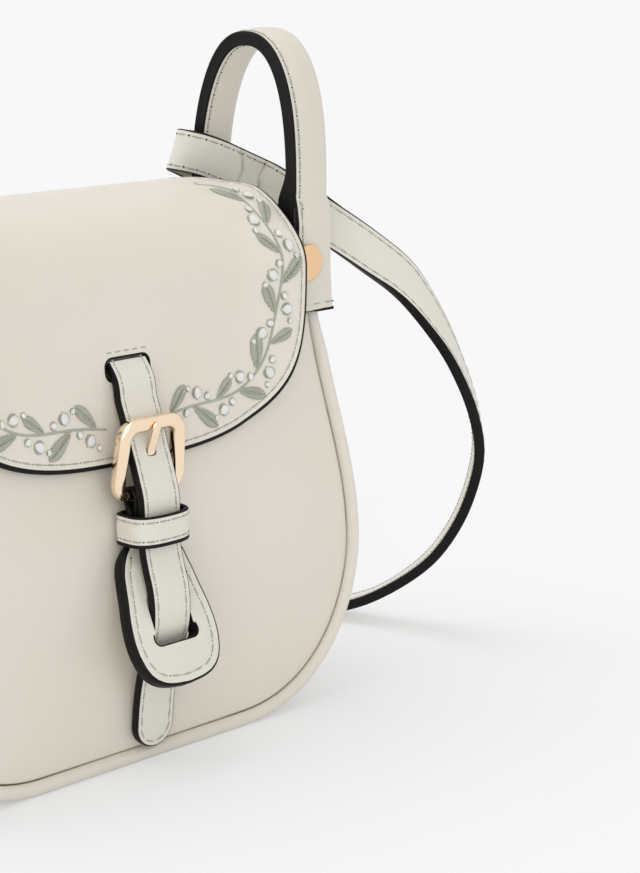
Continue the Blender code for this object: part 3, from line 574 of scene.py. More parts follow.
@dataclass(frozen=True)
class Finish:
    """A procedural finish: its colours, gloss and relief."""

    name: str
    colour: tuple
    deep_colour: tuple
    roughness: float
    play: float = 0.08
    metallic: float = 0.0
    pebble_scale: float = 900.0
    bump: float = 0.25
    bump_depth: float = 0.00008
    patch_scale: float = 22.0
    woven: float = 0.0
    coat: float = 0.0
    sheen: float = 0.0
    specular: float = 0.5

    def material(self, groups: ShaderGroups) -> Material:
        """Build the material.

        Args:
            groups: The shared shader groups.

        Returns:
            The material.
        """
        result = bpy.data.materials.new(self.name)
        result.use_nodes = True
        result.diffuse_color = (*self.colour, 1.0)
        tree = result.node_tree
        shader = tree.nodes["Principled BSDF"]
        places = add_node(tree, "ShaderNodeTexCoord").outputs
        grain = add_node(tree, "ShaderNodeGroup", node_tree=groups.weave if self.woven else groups.grain)
        patina = add_node(tree, "ShaderNodeGroup", node_tree=groups.patina)
        tree.links.new(places["UV" if self.woven else "Object"], grain.inputs["Vector"])
        tree.links.new(places["Object"], patina.inputs["Vector"])
        # The grain's second output, pores for leather and lower threads for cloth, darkens the colour as
        # painted shade
        tree.links.new(grain.outputs[1], patina.inputs["Pores"])
        if self.woven:
            grain.inputs["Threads"].default_value = self.woven
        else:
            grain.inputs["Pebble Scale"].default_value = self.pebble_scale
            grain.inputs["Pore Scale"].default_value = self.pebble_scale * 2.9
        patina.inputs["Colour"].default_value = (*self.colour, 1.0)
        patina.inputs["Deep Colour"].default_value = (*self.deep_colour, 1.0)
        patina.inputs["Scale"].default_value = self.patch_scale
        patina.inputs["Roughness"].default_value = self.roughness
        patina.inputs["Roughness Play"].default_value = self.play
        bump = add_node(tree, "ShaderNodeBump", {
            "Strength": self.bump, "Distance": self.bump_depth, "Height": grain.outputs["Height"]})
        tree.links.new(patina.outputs["Colour"], shader.inputs["Base Color"])
        tree.links.new(patina.outputs["Roughness"], shader.inputs["Roughness"])
        tree.links.new(bump.outputs[0], shader.inputs["Normal"])
        shader.inputs["Metallic"].default_value = self.metallic
        shader.inputs["Coat Weight"].default_value = self.coat
        shader.inputs["Coat Roughness"].default_value = 0.25
        shader.inputs["Sheen Weight"].default_value = self.sheen
        shader.inputs["Specular IOR Level"].default_value = self.specular
        return result


class Palette:
    """Every finish on the bag, built once."""

    def __init__(self) -> None:
        """Build the shared groups and the materials."""
        groups = ShaderGroups()
        finishes = (
            Finish("cream_leather_skin", (0.790, 0.744, 0.655), (0.768, 0.718, 0.625), 0.46, coat=0.05),
            Finish("pale_leather_skin", (0.785, 0.757, 0.672), (0.762, 0.731, 0.642), 0.44, coat=0.05,
                   pebble_scale=1100.0),
            # A darker, yellower copy of the pale leather: painted shade on the handles, the handle feet and
            # the prong hole's walls
            Finish("folded_leather_skin", (0.735, 0.698, 0.604), (0.712, 0.672, 0.575), 0.44, coat=0.05,
                   pebble_scale=1100.0),
            # Black edge paint; on the keeper's inside and on the tab's fold round the buckle it also stands
            # in as painted shade
            Finish("painted_edge", (0.0060, 0.0055, 0.0050), (0.0100, 0.0090, 0.0080), 0.5, play=0.2,
                   pebble_scale=520.0, bump=0.35, bump_depth=0.00012, specular=0.16),
            Finish("lining_cloth", (0.600, 0.545, 0.460), (0.520, 0.465, 0.385), 0.85, woven=1700.0,
                   bump=0.5, bump_depth=0.00012, sheen=0.25),
            Finish("stiff_board", (0.42, 0.36, 0.29), (0.36, 0.30, 0.24), 0.85, pebble_scale=1500.0),
            Finish("rose_gold_plate", (0.965, 0.785, 0.590), (0.945, 0.745, 0.535), 0.13, play=0.05,
                   metallic=1.0, pebble_scale=700.0, bump=0.02, bump_depth=0.00002, patch_scale=60.0),
            Finish("rivet_plate", (0.900, 0.625, 0.375), (0.880, 0.590, 0.340), 0.2, play=0.05,
                   metallic=1.0, pebble_scale=700.0, bump=0.03, bump_depth=0.00002, patch_scale=60.0),
            Finish("seam_thread", (0.455, 0.458, 0.398), (0.365, 0.372, 0.318), 0.62, pebble_scale=3200.0,
                   bump=0.6, bump_depth=0.00005, sheen=0.2),
            # Dark beads in the needle holes: painted shade
            Finish("needle_hole", (0.060, 0.055, 0.045), (0.045, 0.040, 0.034), 0.8, specular=0.2),
            Finish("sage_silk", (0.455, 0.470, 0.395), (0.375, 0.392, 0.325), 0.42, pebble_scale=3200.0,
                   bump=0.5, bump_depth=0.00005, patch_scale=160.0, sheen=0.3),
            Finish("pearl_silk", (0.880, 0.880, 0.845), (0.790, 0.795, 0.750), 0.40, pebble_scale=3200.0,
                   bump=0.5, bump_depth=0.00005, patch_scale=300.0, sheen=0.3),
        )
        self.made = {finish.name: finish.material(groups) for finish in finishes}

    def __getitem__(self, name: str) -> Material:
        """The material of a finish, by name."""
        return self.made[name]


# Leather pieces


@dataclass(frozen=True)
class Rim:
    """How a leather piece is rounded, pressed and painted along one side."""

    bevel: float = 0.0004
    seam: float = 0.0017
    press: float = 0.00018
    settle: float = 0.0034
    groove: float = 0.0
    lip: float = 0.0
    press_reach: float = 0.00054

    def columns(self, half: Array) -> list:
        """Places across the rim from the back's inside, round the edge, to the front's inside.

        Args:
            half: Half the leather's thickness in each row.

        Returns:
            Pairs of distance from the edge and height, each one value for each row.
        """
        round_off = np.minimum(self.bevel, half * 0.98)
        whole = np.ones_like(half)
        result = [(self.settle * whole, -half), (self.seam * whole, -half + self.press * 0.6)]
        angles = np.radians((0, 30, 60, 90))
        for angle in angles:
            result.append((round_off * (1 - np.sin(angle)), -half + round_off * (1 - np.cos(angle))))
        result.append((self.groove * whole, 0 * whole))
        for angle in angles[::-1]:
            result.append((round_off * (1 - np.sin(angle)), half - round_off * (1 - np.cos(angle))))
        result.append((round_off + self.lip, half))
        for aside, drop in ((-self.press_reach, 0.2), (0.0, 1.0), (self.press_reach, 0.2)):
            distance = np.maximum(self.seam + aside, round_off * 1.02 + self.lip)
            result.append((distance, half - self.press * drop))
        result.append((self.settle * whole, half))
        return result


# Columns of a rim that its edge paint covers, from the back's rounding to the front's
PAINTED = range(2, 11)


@dataclass
class Hide:
    """One piece of leather or cloth: its flat cut, thickness and rims, laid along a line."""

    name: str
    lay: Lay
    right: Array
    left: Array
    thickness: Array
    right_rim: Rim = field(default_factory=Rim)
    left_rim: Rim = field(default_factory=Rim)
    columns: int = 12
    crown: float = 0.0
    level: float = 0.0
    closed: bool = False
    relief: Optional[Relief] = None
    back_relief: bool = False

    @staticmethod
    def outwards(cut: Array, side: int) -> Array:
        """Outward direction at each point of a cut line.

        Args:
            cut: The line's flat points.
            side: 1 for the right line, -1 for the left.

        Returns:
            One unit vector for each point.
        """
        tangent = np.gradient(cut, axis=0)
        normal = np.stack([tangent[:, 1], -tangent[:, 0]], axis=1) * side
        length = np.linalg.norm(normal, axis=1, keepdims=True)
        return normal / np.maximum(length, 1e-12)

    def inset(self, side: int, distance: Array) -> Array:
        """Flat points at a distance inside one side of the cut.

        Args:
            side: 1 for the right line, -1 for the left.
            distance: How far inside, one value or one for each row.

        Returns:
            The points.
        """
        cut = self.right if side > 0 else self.left
        moved = cut - self.outwards(cut, side) * np.reshape(distance, (-1, 1))
        middle = (self.right[:, 0] + self.left[:, 0]) / 2
        moved[:, 0] = np.maximum(moved[:, 0], middle) if side > 0 else np.minimum(moved[:, 0], middle)
        return moved

    def half_thickness(self) -> Array:
        """Half the leather's thickness in each row."""
        return np.broadcast_to(np.asarray(self.thickness, float) / 2, (len(self.right),))

    def rings(self) -> tuple:
        """Flat places of the whole skin.

        Returns:
            Places by row and column, and whether each column starts on paint.
        """
        half = self.half_thickness()
        edge_right = [(self.inset(1, d), n) for d, n in self.right_rim.columns(half)]
        edge_left = [(self.inset(-1, d), n) for d, n in self.left_rim.columns(half)]
        count = len(edge_right)
        shares = np.arange(1, self.columns) / self.columns
        front = [(mix(edge_right[-1][0], edge_left[-1][0], share),
                  half + self.crown * 4 * share * (1 - share)) for share in shares]
        back = [(mix(edge_left[0][0], edge_right[0][0], share), -half) for share in shares]
        loops = edge_right + front + edge_left[::-1] + back
        rim = [index in PAINTED for index in range(count - 1)]
        plain = [False] * self.columns
        paint = rim + plain + rim[::-1] + plain
        grid = np.stack([np.column_stack([flat, height]) for flat, height in loops], axis=1)
        if self.relief is not None:
            moved = self.relief(grid[..., 0], grid[..., 1])
            front = grid[..., 2] > 0
            grid[..., 2] += np.where(front, moved, moved if self.back_relief else 0)
        grid[..., 2] += self.level
        return grid, paint

    def build(self, skin: Material, edge: Material) -> Piece:
        """Make the piece.

        Args:
            skin: Material of the faces.
            edge: Material of the painted edges.

        Returns:
            The finished object.
        """
        grid, paint = self.rings()
        rows, around = grid.shape[:2]
        flat = grid.reshape(-1, 3)
        places = self.lay.place(flat)
        build = bmesh.new()
        uv = build.loops.layers.uv.new("flat")
        corners = [build.verts.new(place) for place in places]
        for row in range(rows if self.closed else rows - 1):
            after = (row + 1) % rows
            for column in range(around):
                beside = (column + 1) % around
                loop = (row * around + column, row * around + beside, after * around + beside,
                        after * around + column)
                face = build.faces.new([corners[index] for index in loop])
                face.material_index = int(paint[column])
                for corner, index in zip(face.loops, loop):
                    corner[uv].uv = (flat[index][0], flat[index][1])
        if not self.closed:
            for start in (0, (rows - 1) * around):
                ends = [corners[start + index] for index in range(around)]
                face = build.faces.new(ends if start else ends[::-1])
                face.material_index = 1
        bmesh.ops.remove_doubles(build, verts=build.verts, dist=WELD_DISTANCE)
        bmesh.ops.dissolve_degenerate(build, edges=build.edges, dist=WELD_DISTANCE / 2)
        return finish_mesh(self.name, build, [skin, edge])

    def seam(self, distance: float, front: bool = True, both_ends: bool = False) -> list:
        """Flat lines for a seam that runs inside the cut's edge.

        Args:
            distance: How far inside the edge the seam runs.
            front: Whether it lies on the front face.
            both_ends: Whether one line runs down the right side, round the tip and up the left.

        Returns:
            Lists of flat points with their height.
        """
        height = (self.half_thickness() - self.right_rim.press * 0.7) * (1 if front else -1)
        lines = [np.column_stack([self.inset(side, distance), height]) for side in (1, -1)]
        for line in lines:
            if self.relief is not None and (front or self.back_relief):
                line[:, 2] += self.relief(line[:, 0], line[:, 1])
            line[:, 2] += self.level
        return [np.vstack([lines[0], lines[1][::-1]])] if both_ends else lines


def loft(build: bmesh.types.BMesh, rings: Sequence, closed: bool = False, around: bool = True) -> None:
    """Lay faces between rings of vertices.

    Args:
        build: The mesh under construction.
        rings: Rings of as many vertices each, in order.
        closed: Whether the last ring joins the first one; the end rings are filled where it doesn't.
        around: Whether each ring runs back to its own start.
    """
    pairs = list(zip(rings, rings[1:] + rings[:1])) if closed else list(zip(rings, rings[1:]))
    count = len(rings[0])
    for ring, beside in pairs:
        for here in range(count if around else count - 1):
            after = (here + 1) % count
            build.faces.new((ring[here], ring[after], beside[after], beside[here]))
    if not closed:
        build.faces.new(rings[0])
        build.faces.new(rings[-1][::-1])


def finish_mesh(name: str, build: bmesh.types.BMesh, finishes: Sequence, angle: float = SHARP_ANGLE) -> Piece:
    """Turn a bmesh into a smooth object at the origin, with its faces outward.

    Args:
        name: The object's name.
        build: The mesh under construction, which is freed.
        finishes: Its materials.
        angle: Edges sharper than this many degrees stay sharp.

    Returns:
        The object.
    """
    bmesh.ops.recalc_face_normals(build, faces=build.faces)
    mesh = bpy.data.meshes.new(name)
    build.to_mesh(mesh)
    build.free()
    for finish in finishes:
        mesh.materials.append(finish)
    mesh.shade_smooth()
    mesh.set_sharp_from_angle(angle=math.radians(angle))
    item = bpy.data.objects.new(name, mesh)
    bpy.context.scene.collection.objects.link(item)
    return item


def cut_through(item: Piece, cutters: Sequence[Piece]) -> None:
    """Cut closed bodies out of an object and remove them.

    Args:
        item: The object to cut.
        cutters: The bodies, whose materials line the holes.
    """
    for cutter in cutters:
        step = item.modifiers.new("cut", "BOOLEAN")
        step.operation = "DIFFERENCE"
        step.solver = "EXACT"
        step.material_mode = "TRANSFER"
        step.object = cutter
    mesh = applied(item)
    old = item.data
    item.data = mesh
    mesh.name = item.name
    bpy.data.meshes.remove(old)
    mesh.set_sharp_from_angle(angle=math.radians(SHARP_ANGLE))
    for cutter in cutters:
        bpy.data.objects.remove(cutter)


def rounded_loop(half: float, low: float, high: float, radius: float, steps: int = 6) -> Array:
    """A rectangle with round corners.

    Args:
        half: Half its width.
        low: Its lower level.
        high: Its upper level.
        radius: Radius of its corners.
        steps: Steps in each corner.

    Returns:
        Its points, round from the upper right.
    """
    loop = []
    for turn, (side, level) in enumerate(((1, high), (-1, high), (-1, low), (1, low))):
        middle = level - radius if level == high else level + radius
        for step in range(steps + 1):
            angle = math.radians(90) * (turn + step / steps)
            across = side * (half - radius) + radius * math.cos(angle)
            loop.append((across, middle + radius * math.sin(angle)))
    return np.array(loop)


def punch(name: str, lay: Lay, loop: Array, reach: float, finish: Material) -> Piece:
    """A closed body that cuts a flat outline through leather on a line.

    Args:
        name: Its name.
        lay: The line that the leather follows.
        loop: The outline in flat places.
        reach: How far it stands out on both faces.
        finish: Material that lines the hole.

    Returns:
        The cutting body.
    """
    build = bmesh.new()
    rings = []
    for height in (reach, -reach):
        places = lay.place(np.column_stack([loop, np.full(len(loop), height)]))
        rings.append([build.verts.new(place) for place in places])
    loft(build, rings)
    return finish_mesh(name, build, [finish])


# The paint's section: share of the strip's width, and rise above the leather's face
PAINT_SECTION = ((-0.25, -0.0006), (-0.25, 0.00004), (0.15, 0.00014), (0.7, 0.00011), (1.0, -0.0001),
                 (0.9, -0.0006))


def paint_strip(name: str, lay: Lay, line: Array, width: float, level: float, finish: Material,
                closed: bool = True) -> Piece:
    """A thin raised strip of edge paint beside a cut.

    Args:
        name: Its name.
        lay: The line that the leather follows.
        line: The cut's flat places, with the leather on their right.
        width: Width of the strip.
        level: Height of the leather's face.
        finish: Its material.
        closed: Whether the cut comes back to its start.

    Returns:
        The finished piece.
    """
    if closed:
        around = np.vstack([line[-1:], line, line[:1]])
        along = around[2:] - around[:-2]
    else:
        along = np.gradient(line, axis=0)
    aside = np.column_stack([along[:, 1], -along[:, 0]])
    aside /= np.linalg.norm(aside, axis=1, keepdims=True)
    build = bmesh.new()
    rings = []
    for share, rise in PAINT_SECTION:
        flat = np.column_stack([line + aside * width * share, np.full(len(line), level + rise)])
        rings.append([build.verts.new(place) for place in lay.place(flat)])
    loft(build, rings, closed=True, around=closed)
    if not closed:
        for here in (0, -1):
            build.faces.new([ring[here] for ring in rings])
    return finish_mesh(name, build, [finish])


class Workshop:
    """The tools that every sub-assembly shares: finishes, seams and embroidery."""

    def __init__(self) -> None:
        """Build the palette and the node trees."""
        self.palette = Palette()
        self.sewing = SewingTree().tree
        self.leaf = SatinTree("satin_leaf", 13, True).tree
        self.berry = SatinTree("satin_berry", 9, False).tree

    def dress(self, item: Piece, body: str, slot: str, *nodes: str) -> Piece:
        """Put a finished piece on its body.

        Args:
            item: The piece.
            body: Body that it rides on.
            slot: Name of a material slot; not used.
            nodes: CAD nodes that it stands for.

        Returns:
            The piece.
        """
        if nodes:
            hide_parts(*nodes)
        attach(item, body)
        LOG.info("%s: %d faces on %s", item.name, len(item.data.polygons), body)
        return item

    def sew(self, name: str, lay: Lay, lines: Sequence[Array], pitch: float = 0.0044,
            **sizes: object) -> Piece:
        """Sew along flat lines.

        Args:
            name: Name of the seam.
            lay: The line that the leather follows.
            lines: Flat lines with their heights.
            pitch: Distance from stitch to stitch.
            sizes: Further inputs of the sewing tree, with underscores for spaces.

        Returns:
            The seam's object.
        """
        base = bpy.data.meshes.new(name)
        points = [tuple(map(float, point)) for line in lines for point in line]
        edges = []
        first = 0
        for line in lines:
            edges += [(first + index, first + index + 1) for index in range(len(line) - 1)]
            first += len(line)
        base.from_pydata(points, edges, [])
        values = {"Pitch": pitch, "Stitch Length": pitch * 0.8, "Thread": self.palette["seam_thread"],
                  "Hole": self.palette["needle_hole"]}
        values.update({key.replace("_", " "): value for key, value in sizes.items()})
        return self.lay_down(name, lay, grow(self.sewing, base, values))

    def embroider(self, name: str, lay: Lay, tree: Tree, motifs: Sequence[tuple], **sizes: object) -> Piece:
        """Place embroidered motifs.

        Args:
            name: Name of the motifs.
            lay: The line that the leather follows.
            tree: The motif's tree.
            motifs: Distance across, along and above, heading and size of each motif.
            sizes: Inputs of the tree, with underscores for spaces.

        Returns:
            The embroidery's object.
        """
        base = bpy.data.meshes.new(name)
        table = np.array(motifs, float)
        base.from_pydata([tuple(row[:3]) for row in table.tolist()], [], [])
        for label, column in (("turn", 3), ("size", 4)):
            values = base.attributes.new(label, "FLOAT", "POINT")
            values.data.foreach_set("value", table[:, column].astype(np.float32))
        return self.lay_down(name, lay, grow(tree, base, {k.replace("_", " "): v for k, v in sizes.items()}))

    @staticmethod
    def lay_down(name: str, lay: Lay, mesh: Mesh) -> Piece:
        """Bend flat work with its leather.

        Args:
            name: The object's name.
            lay: The line that the leather follows.
            mesh: The flat mesh.

        Returns:
            The object.
        """
        write_points(mesh, lay.place(read_points(mesh)))
        mesh.name = name
        item = bpy.data.objects.new(name, mesh)
        bpy.context.scene.collection.objects.link(item)
        return item


# The bag's own shape


@dataclass(frozen=True)
class BodyShape:
    """Outline and depth of the sewn shell, which everything else sits on."""

    width: float = 0.190
    top_width: float = 0.173
    flat_width: float = 0.080
    widest_height: float = 0.060
    narrowest_height: float = 0.140
    corner_power: float = 2.2
    base_depth: float = 0.072
    top_depth: float = 0.049
    taper_start: float = 0.045
    taper_end: float = 0.150
    front_height: float = 0.158
    back_height: float = 0.165
    leather: float = 0.002
    gap: float = 0.0003
    flap_top: float = 0.174
    flap_dome: float = 0.0015
    flap_stack: float = 0.003
    flap_clearance: float = 0.0004
    flap_front_radius: float = 0.027

    def half_width(self, height: Array) -> Array:
        """Half the width of the front outline.

        Args:
            height: Heights to read it at.

        Returns:
            One half width for each height.
        """
        height = np.asarray(height, float)
        drop = np.clip((self.widest_height - height) / self.widest_height, 0, 1)
        low = mix(self.flat_width, self.width, (1 - drop ** self.corner_power) ** (1 / self.corner_power))
        high = mix(self.width, self.top_width,
                   ease(height, self.widest_height, self.narrowest_height - self.widest_height))
        return np.where(height < self.widest_height, low, high) / 2

    def back_depth(self, height: Array) -> Array:
        """Distance of the back panel behind the middle at heights."""
        taper = ease(height, self.taper_start, self.taper_end - self.taper_start)
        return mix(self.base_depth, self.top_depth, taper) / 2

    def flap_bend(self) -> tuple:
        """Centre of the flap's front bend.

        Returns:
            Its distance forward and its height.
        """
        height = self.flap_top - self.flap_dome - self.flap_front_radius
        face = float(self.back_depth(height)) + self.flap_clearance + self.flap_stack
        return face - self.flap_front_radius, height

    def front_depth(self, height: Array) -> Array:
        """Distance of the front panel before the middle, with its top under the flap.

        Args:
            height: Heights to read it at.

        Returns:
            One distance for each height.
        """
        forward, centre = self.flap_bend()
        radius = self.flap_front_radius - self.flap_stack - self.flap_clearance
        rise = np.clip(np.asarray(height, float) - centre, 0, radius)
        bent = forward + np.sqrt(radius * radius - rise * rise)
        plain = self.back_depth(height)
        return np.where(np.asarray(height) <= centre, plain, np.minimum(plain, bent))

    def depth(self, facing: Facing, height: Array) -> Array:
        """Distance of one panel from the middle at heights."""
        return self.front_depth(height) if facing is Facing.FRONT else self.back_depth(height)

    def outline(self, inset: float, top: float, corner_steps: int = 48, side_steps: int = 60) -> Array:
        """Right half of the front outline.

        Args:
            inset: How far it is drawn in.
            top: Height where it ends.
            corner_steps: Steps round the lower corner.
            side_steps: Steps up the side.

        Returns:
            Points (x, z) from the base to the top.
        """
        angle = np.radians(90) * np.arange(corner_steps + 1) / corner_steps
        height = self.widest_height * (1 - np.cos(angle) ** (2 / self.corner_power))
        reach = mix(self.flat_width, self.width, np.sin(angle) ** (2 / self.corner_power)) / 2
        upper = self.widest_height + (top - self.widest_height) * np.arange(1, side_steps + 1) / side_steps
        points = np.column_stack([np.concatenate([reach, self.half_width(upper)]),
                                  np.concatenate([height, upper])])
        along = np.empty_like(points)
        along[1:-1] = points[2:] - points[:-2]
        along[0] = (1, 0)
        along[-1] = points[-1] - points[-2]
        along /= np.linalg.norm(along, axis=1, keepdims=True)
        return points + inset * np.column_stack([-along[:, 1], along[:, 0]])


SHAPE = BodyShape()
CUT_RIM = Rim(bevel=0.0005, press=0.0)


def panel_lay(facing: Facing, depth_in: float, top: float) -> Lay:
    """The middle line of a panel, with its outward side away from the bag.

    Args:
        facing: Which panel.
        depth_in: How far the line lies inside the panel's outer face.
        top: Height where it ends.

    Returns:
        The line, from the top down for the front and from the base up for the back.
    """
    height = np.linspace(0, top, 160)
    y = facing.value * (SHAPE.depth(facing, height) - depth_in)
    points = np.column_stack([np.zeros_like(height), y, height])
    return Lay(points[::-1] if facing is Facing.FRONT else points, (1, 0, 0))


@dataclass
class Shell:
    """The sewn body: panels, gusset, piping, board and lining."""

    shop: Workshop
    piping_diameter: float = 0.0046
    piping_faces: int = 16
    lining_cloth: float = 0.0008
    handle_tab_bottom: float = 0.131
    sink_length: float = 0.016
    gusset_sink: float = 0.002
    gusset_sink_height: float = 0.030
    seam_dip: float = 0.0011
    seam_reach: float = 0.0042
    slack: float = 0.00035
    slack_reach: float = 0.020
    slack_waves: tuple = (31.0, 43.0)
    slack_shifts: tuple = (0.7, 1.3)
    slant_waves: tuple = (67.0, 51.0)
    base_sag: float = 0.00025
    side_hollow: float = 0.0022
    side_wave: float = 0.25
    side_wave_rate: float = 60.0
    hollow_start: float = 0.008
    hollow_length: float = 0.050
    least_rise: float = 0.00001

    def setback(self, height: Array) -> Array:
        """How far the piping's middle lies behind its panel's face."""
        sink = ease(height, self.handle_tab_bottom - self.sink_length, self.sink_length)
        return mix(SHAPE.leather / 2, self.piping_diameter / 2 + SHAPE.gap, sink)

    def panel(self, facing: Facing, top: float, inset: float, depth_in: float, thickness: float,
              name: str, cloth: bool) -> Piece:
        """One panel or its lining.

        Args:
            facing: Which panel.
            top: Height of its upper edge.
            inset: How far its cut lies inside the bag's outline.
            depth_in: How far its outer face lies inside the panel's.
            thickness: Its thickness.
            name: Its name.
            cloth: Whether it is lining cloth.

        Returns:
            The finished piece.
        """
        forward = facing is Facing.FRONT
        lay = panel_lay(facing, depth_in + thickness / 2, top)
        edge = SHAPE.outline(inset, top, 40, 46)
        edge = edge[np.concatenate([[True], np.diff(edge[:, 1]) > self.least_rise])]
        line = lay.points[::-1] if forward else lay.points
        run = np.interp(edge[:, 1], line[:, 2], run_of(line))
        rows = np.column_stack([edge[:, 0], lay.length - run if forward else run])
        share = np.linspace(0, 1, 14)[:-1]
        sag = self.base_sag * (1 - share * share) * (1 if forward else -1)
        rows = np.vstack([np.column_stack([rows[0, 0] * share, rows[0, 1] + sag]), rows])
        rows = rows[::-1] if forward else rows
        low = rows[:, 1].max() if forward else rows[:, 1].min()

        def relief(across: Array, along: Array) -> Array:
            """Dip of the leather towards its seams, with a little slack.

            Args:
                across: Distances from the middle.
                along: Distances along the panel.

            Returns:
                Heights above the flat leather.
            """
            half = np.interp(along, rows[:, 1], rows[:, 0])
            inward = np.clip(np.minimum(half - np.abs(across), np.abs(along - low)), 0, 1)
            dip = -self.seam_dip * np.exp(-inward / self.seam_reach)
            wave = np.sin(across * self.slack_waves[0] + self.slack_shifts[0])
            wave *= np.sin(along * self.slack_waves[1] + self.slack_shifts[1])
            wave += 0.5 * np.sin(across * self.slant_waves[0] - along * self.slant_waves[1])
            fade = 1 - np.exp(-inward / self.slack_reach)
            return dip - self.slack * fade * (1 + wave / 1.5)

        hide = Hide(name, lay, rows, rows * (-1, 1), thickness, columns=34, right_rim=CUT_RIM,
                    left_rim=CUT_RIM, relief=None if cloth else relief)
        finish = self.shop.palette["lining_cloth" if cloth else "cream_leather_skin"]
        return hide.build(finish, finish)

    def gusset(self, name: str, inset: float, thickness: float, edge: Callable[[Array], Array],
               sink: float, cloth: bool) -> Piece:
        """The band round the sides and base, or its lining.

        Args:
            name: Its name.
            inset: How far its outer face lies inside the outline.
            thickness: Its thickness.
            edge: How far its edges lie behind the panels' faces, at each height.
            sink: How far the sides are drawn in.
            cloth: Whether it is lining cloth.

        Returns:
            The finished piece.
        """
        top = SHAPE.front_height
        line = SHAPE.outline(0, top, 40, 46)
        inner = SHAPE.outline(1, top, 40, 46)
        drawn = inset + thickness / 2 + sink * ease(line[:, 1], 0, self.gusset_sink_height)
        middle = line + (inner - line) * drawn[:, None]
        height = np.concatenate([line[::-1, 1], line[:, 1]])
        path = np.vstack([middle[::-1], middle * (-1, 1)])
        lay = Lay(np.column_stack([path[:, 0], np.zeros(len(path)), path[:, 1]]), (0, 1, 0))
        back = SHAPE.back_depth(height) - edge(height)
        front = -(SHAPE.front_depth(height) - edge(height))

        def relief(across: Array, along: Array) -> Array:
            """The band's slight hollow between its two seams.

            Args:
                across: Distances from the bag's middle plane.
                along: Distances along the band.

            Returns:
                Heights above the flat band.
            """
            wide = np.interp(along, lay.runs, (back - front) / 2)
            middle_line = np.interp(along, lay.runs, (back + front) / 2)
            share = np.clip(np.abs(across - middle_line) / wide, 0, 1)
            up = ease(np.interp(along, lay.runs, height), self.hollow_start, self.hollow_length)
            wave = 1 + self.side_wave * np.sin(along * self.side_wave_rate)
            return -self.side_hollow * up * (1 - share ** 2) * wave

        right, left = (np.column_stack([side, lay.runs]) for side in (back, front))
        hide = Hide(name, lay, right, left, thickness, columns=16, right_rim=Rim(press=0.0),
                    left_rim=Rim(press=0.0), relief=None if cloth else relief, back_relief=True)
        finish = self.shop.palette["lining_cloth" if cloth else "cream_leather_skin"]
        return hide.build(finish, finish)

    def piping(self, facing: Facing) -> Piece:
        """The filled cord round a panel.

        Args:
            facing: Which panel it goes round.

        Returns:
            The finished piece.
        """
        radius = self.piping_diameter / 2
        right = SHAPE.outline(radius, SHAPE.front_height, 56, 60)
        path = np.vstack([right[::-1], (right * (-1, 1))[1:]])
        depth = facing.value * (SHAPE.depth(facing, path[:, 1]) - self.setback(path[:, 1]))
        lay = Lay(np.column_stack([path[:, 0], depth, path[:, 1]]), (0, 1, 0))
        build = bmesh.new()
        rings = []
        cap = np.array([0.0, 0.35, 0.8]) * radius
        runs = np.sort(np.concatenate([cap, lay.runs[1:-1], lay.length - cap]))
        end = [0.35, 0.8, 1.0]
        shares = end + [1.0] * (len(runs) - 2 * len(end)) + end[::-1]
        angle = math.tau * np.arange(self.piping_faces) / self.piping_faces
        for run, share in zip(runs, shares):
            flat = np.column_stack([radius * share * np.cos(angle), np.full(len(angle), run),
                                    radius * share * np.sin(angle)])
            rings.append([build.verts.new(place) for place in lay.place(flat)])
        loft(build, rings)
        return finish_mesh(facing.word + "_piping_cord", build, [self.shop.palette["cream_leather_skin"]])

    def build(self) -> None:
        """Make and dress the whole shell."""
        shop = self.shop
        inset = self.piping_diameter + SHAPE.gap
        radius = self.piping_diameter / 2
        for facing, top in ((Facing.FRONT, SHAPE.front_height), (Facing.BACK, SHAPE.back_height)):
            word = facing.word
            leather = self.panel(facing, top, inset, 0, SHAPE.leather, word + "_panel_leather", False)
            shop.dress(leather, "bag", "cream_leather", word + "_panel")
            shop.dress(self.piping(facing), "bag", "cream_leather", word + "_piping")
            cloth = self.panel(facing, SHAPE.front_height, inset + self.lining_cloth + SHAPE.gap,
                               SHAPE.leather + SHAPE.gap, self.lining_cloth, word + "_lining_cloth", True)
            shop.dress(cloth, "bag", "lining_fabric", word + "_lining")
        band = self.gusset("gusset_leather", 0, SHAPE.leather,
                           lambda height: self.setback(height) + radius + SHAPE.gap, self.gusset_sink, False)
        shop.dress(band, "bag", "cream_leather", "gusset")
        cloth = self.gusset("gusset_lining_cloth", inset, self.lining_cloth,
                            lambda height: SHAPE.leather + SHAPE.gap + 0 * height, 0, True)
        shop.dress(cloth, "bag", "lining_fabric", "gusset_lining")
        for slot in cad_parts["base_board"].material_slots:
            slot.material = shop.palette["stiff_board"]
        LOG.info("base_board: finish stiff_board")


class FlapLay(Lay):
    """The flap's line, whose sides stand forward over the handle tabs."""

    lift: float = 0.0044
    lift_start: float = 0.045
    lift_length: float = 0.025
    lift_top: float = 0.170
    lift_fade: float = 0.020

    def place(self, flat: Array) -> Array:
        """Lay flat work along the flap.

        Args:
            flat: Rows of distance across, distance along and height above the line.

        Returns:
            The places in the bag's own frame.
        """
        result = super().place(flat)
        middle = self.read(self.points, flat[:, 1])
        sideways = ease(np.abs(flat[:, 0]), self.lift_start, self.lift_length)
        fade = 1 - ease(middle[:, 2], self.lift_top - self.lift_fade, self.lift_fade)
        result[:, 1] -= np.where(middle[:, 1] > 0, 0, self.lift * sideways * fade)
        return result


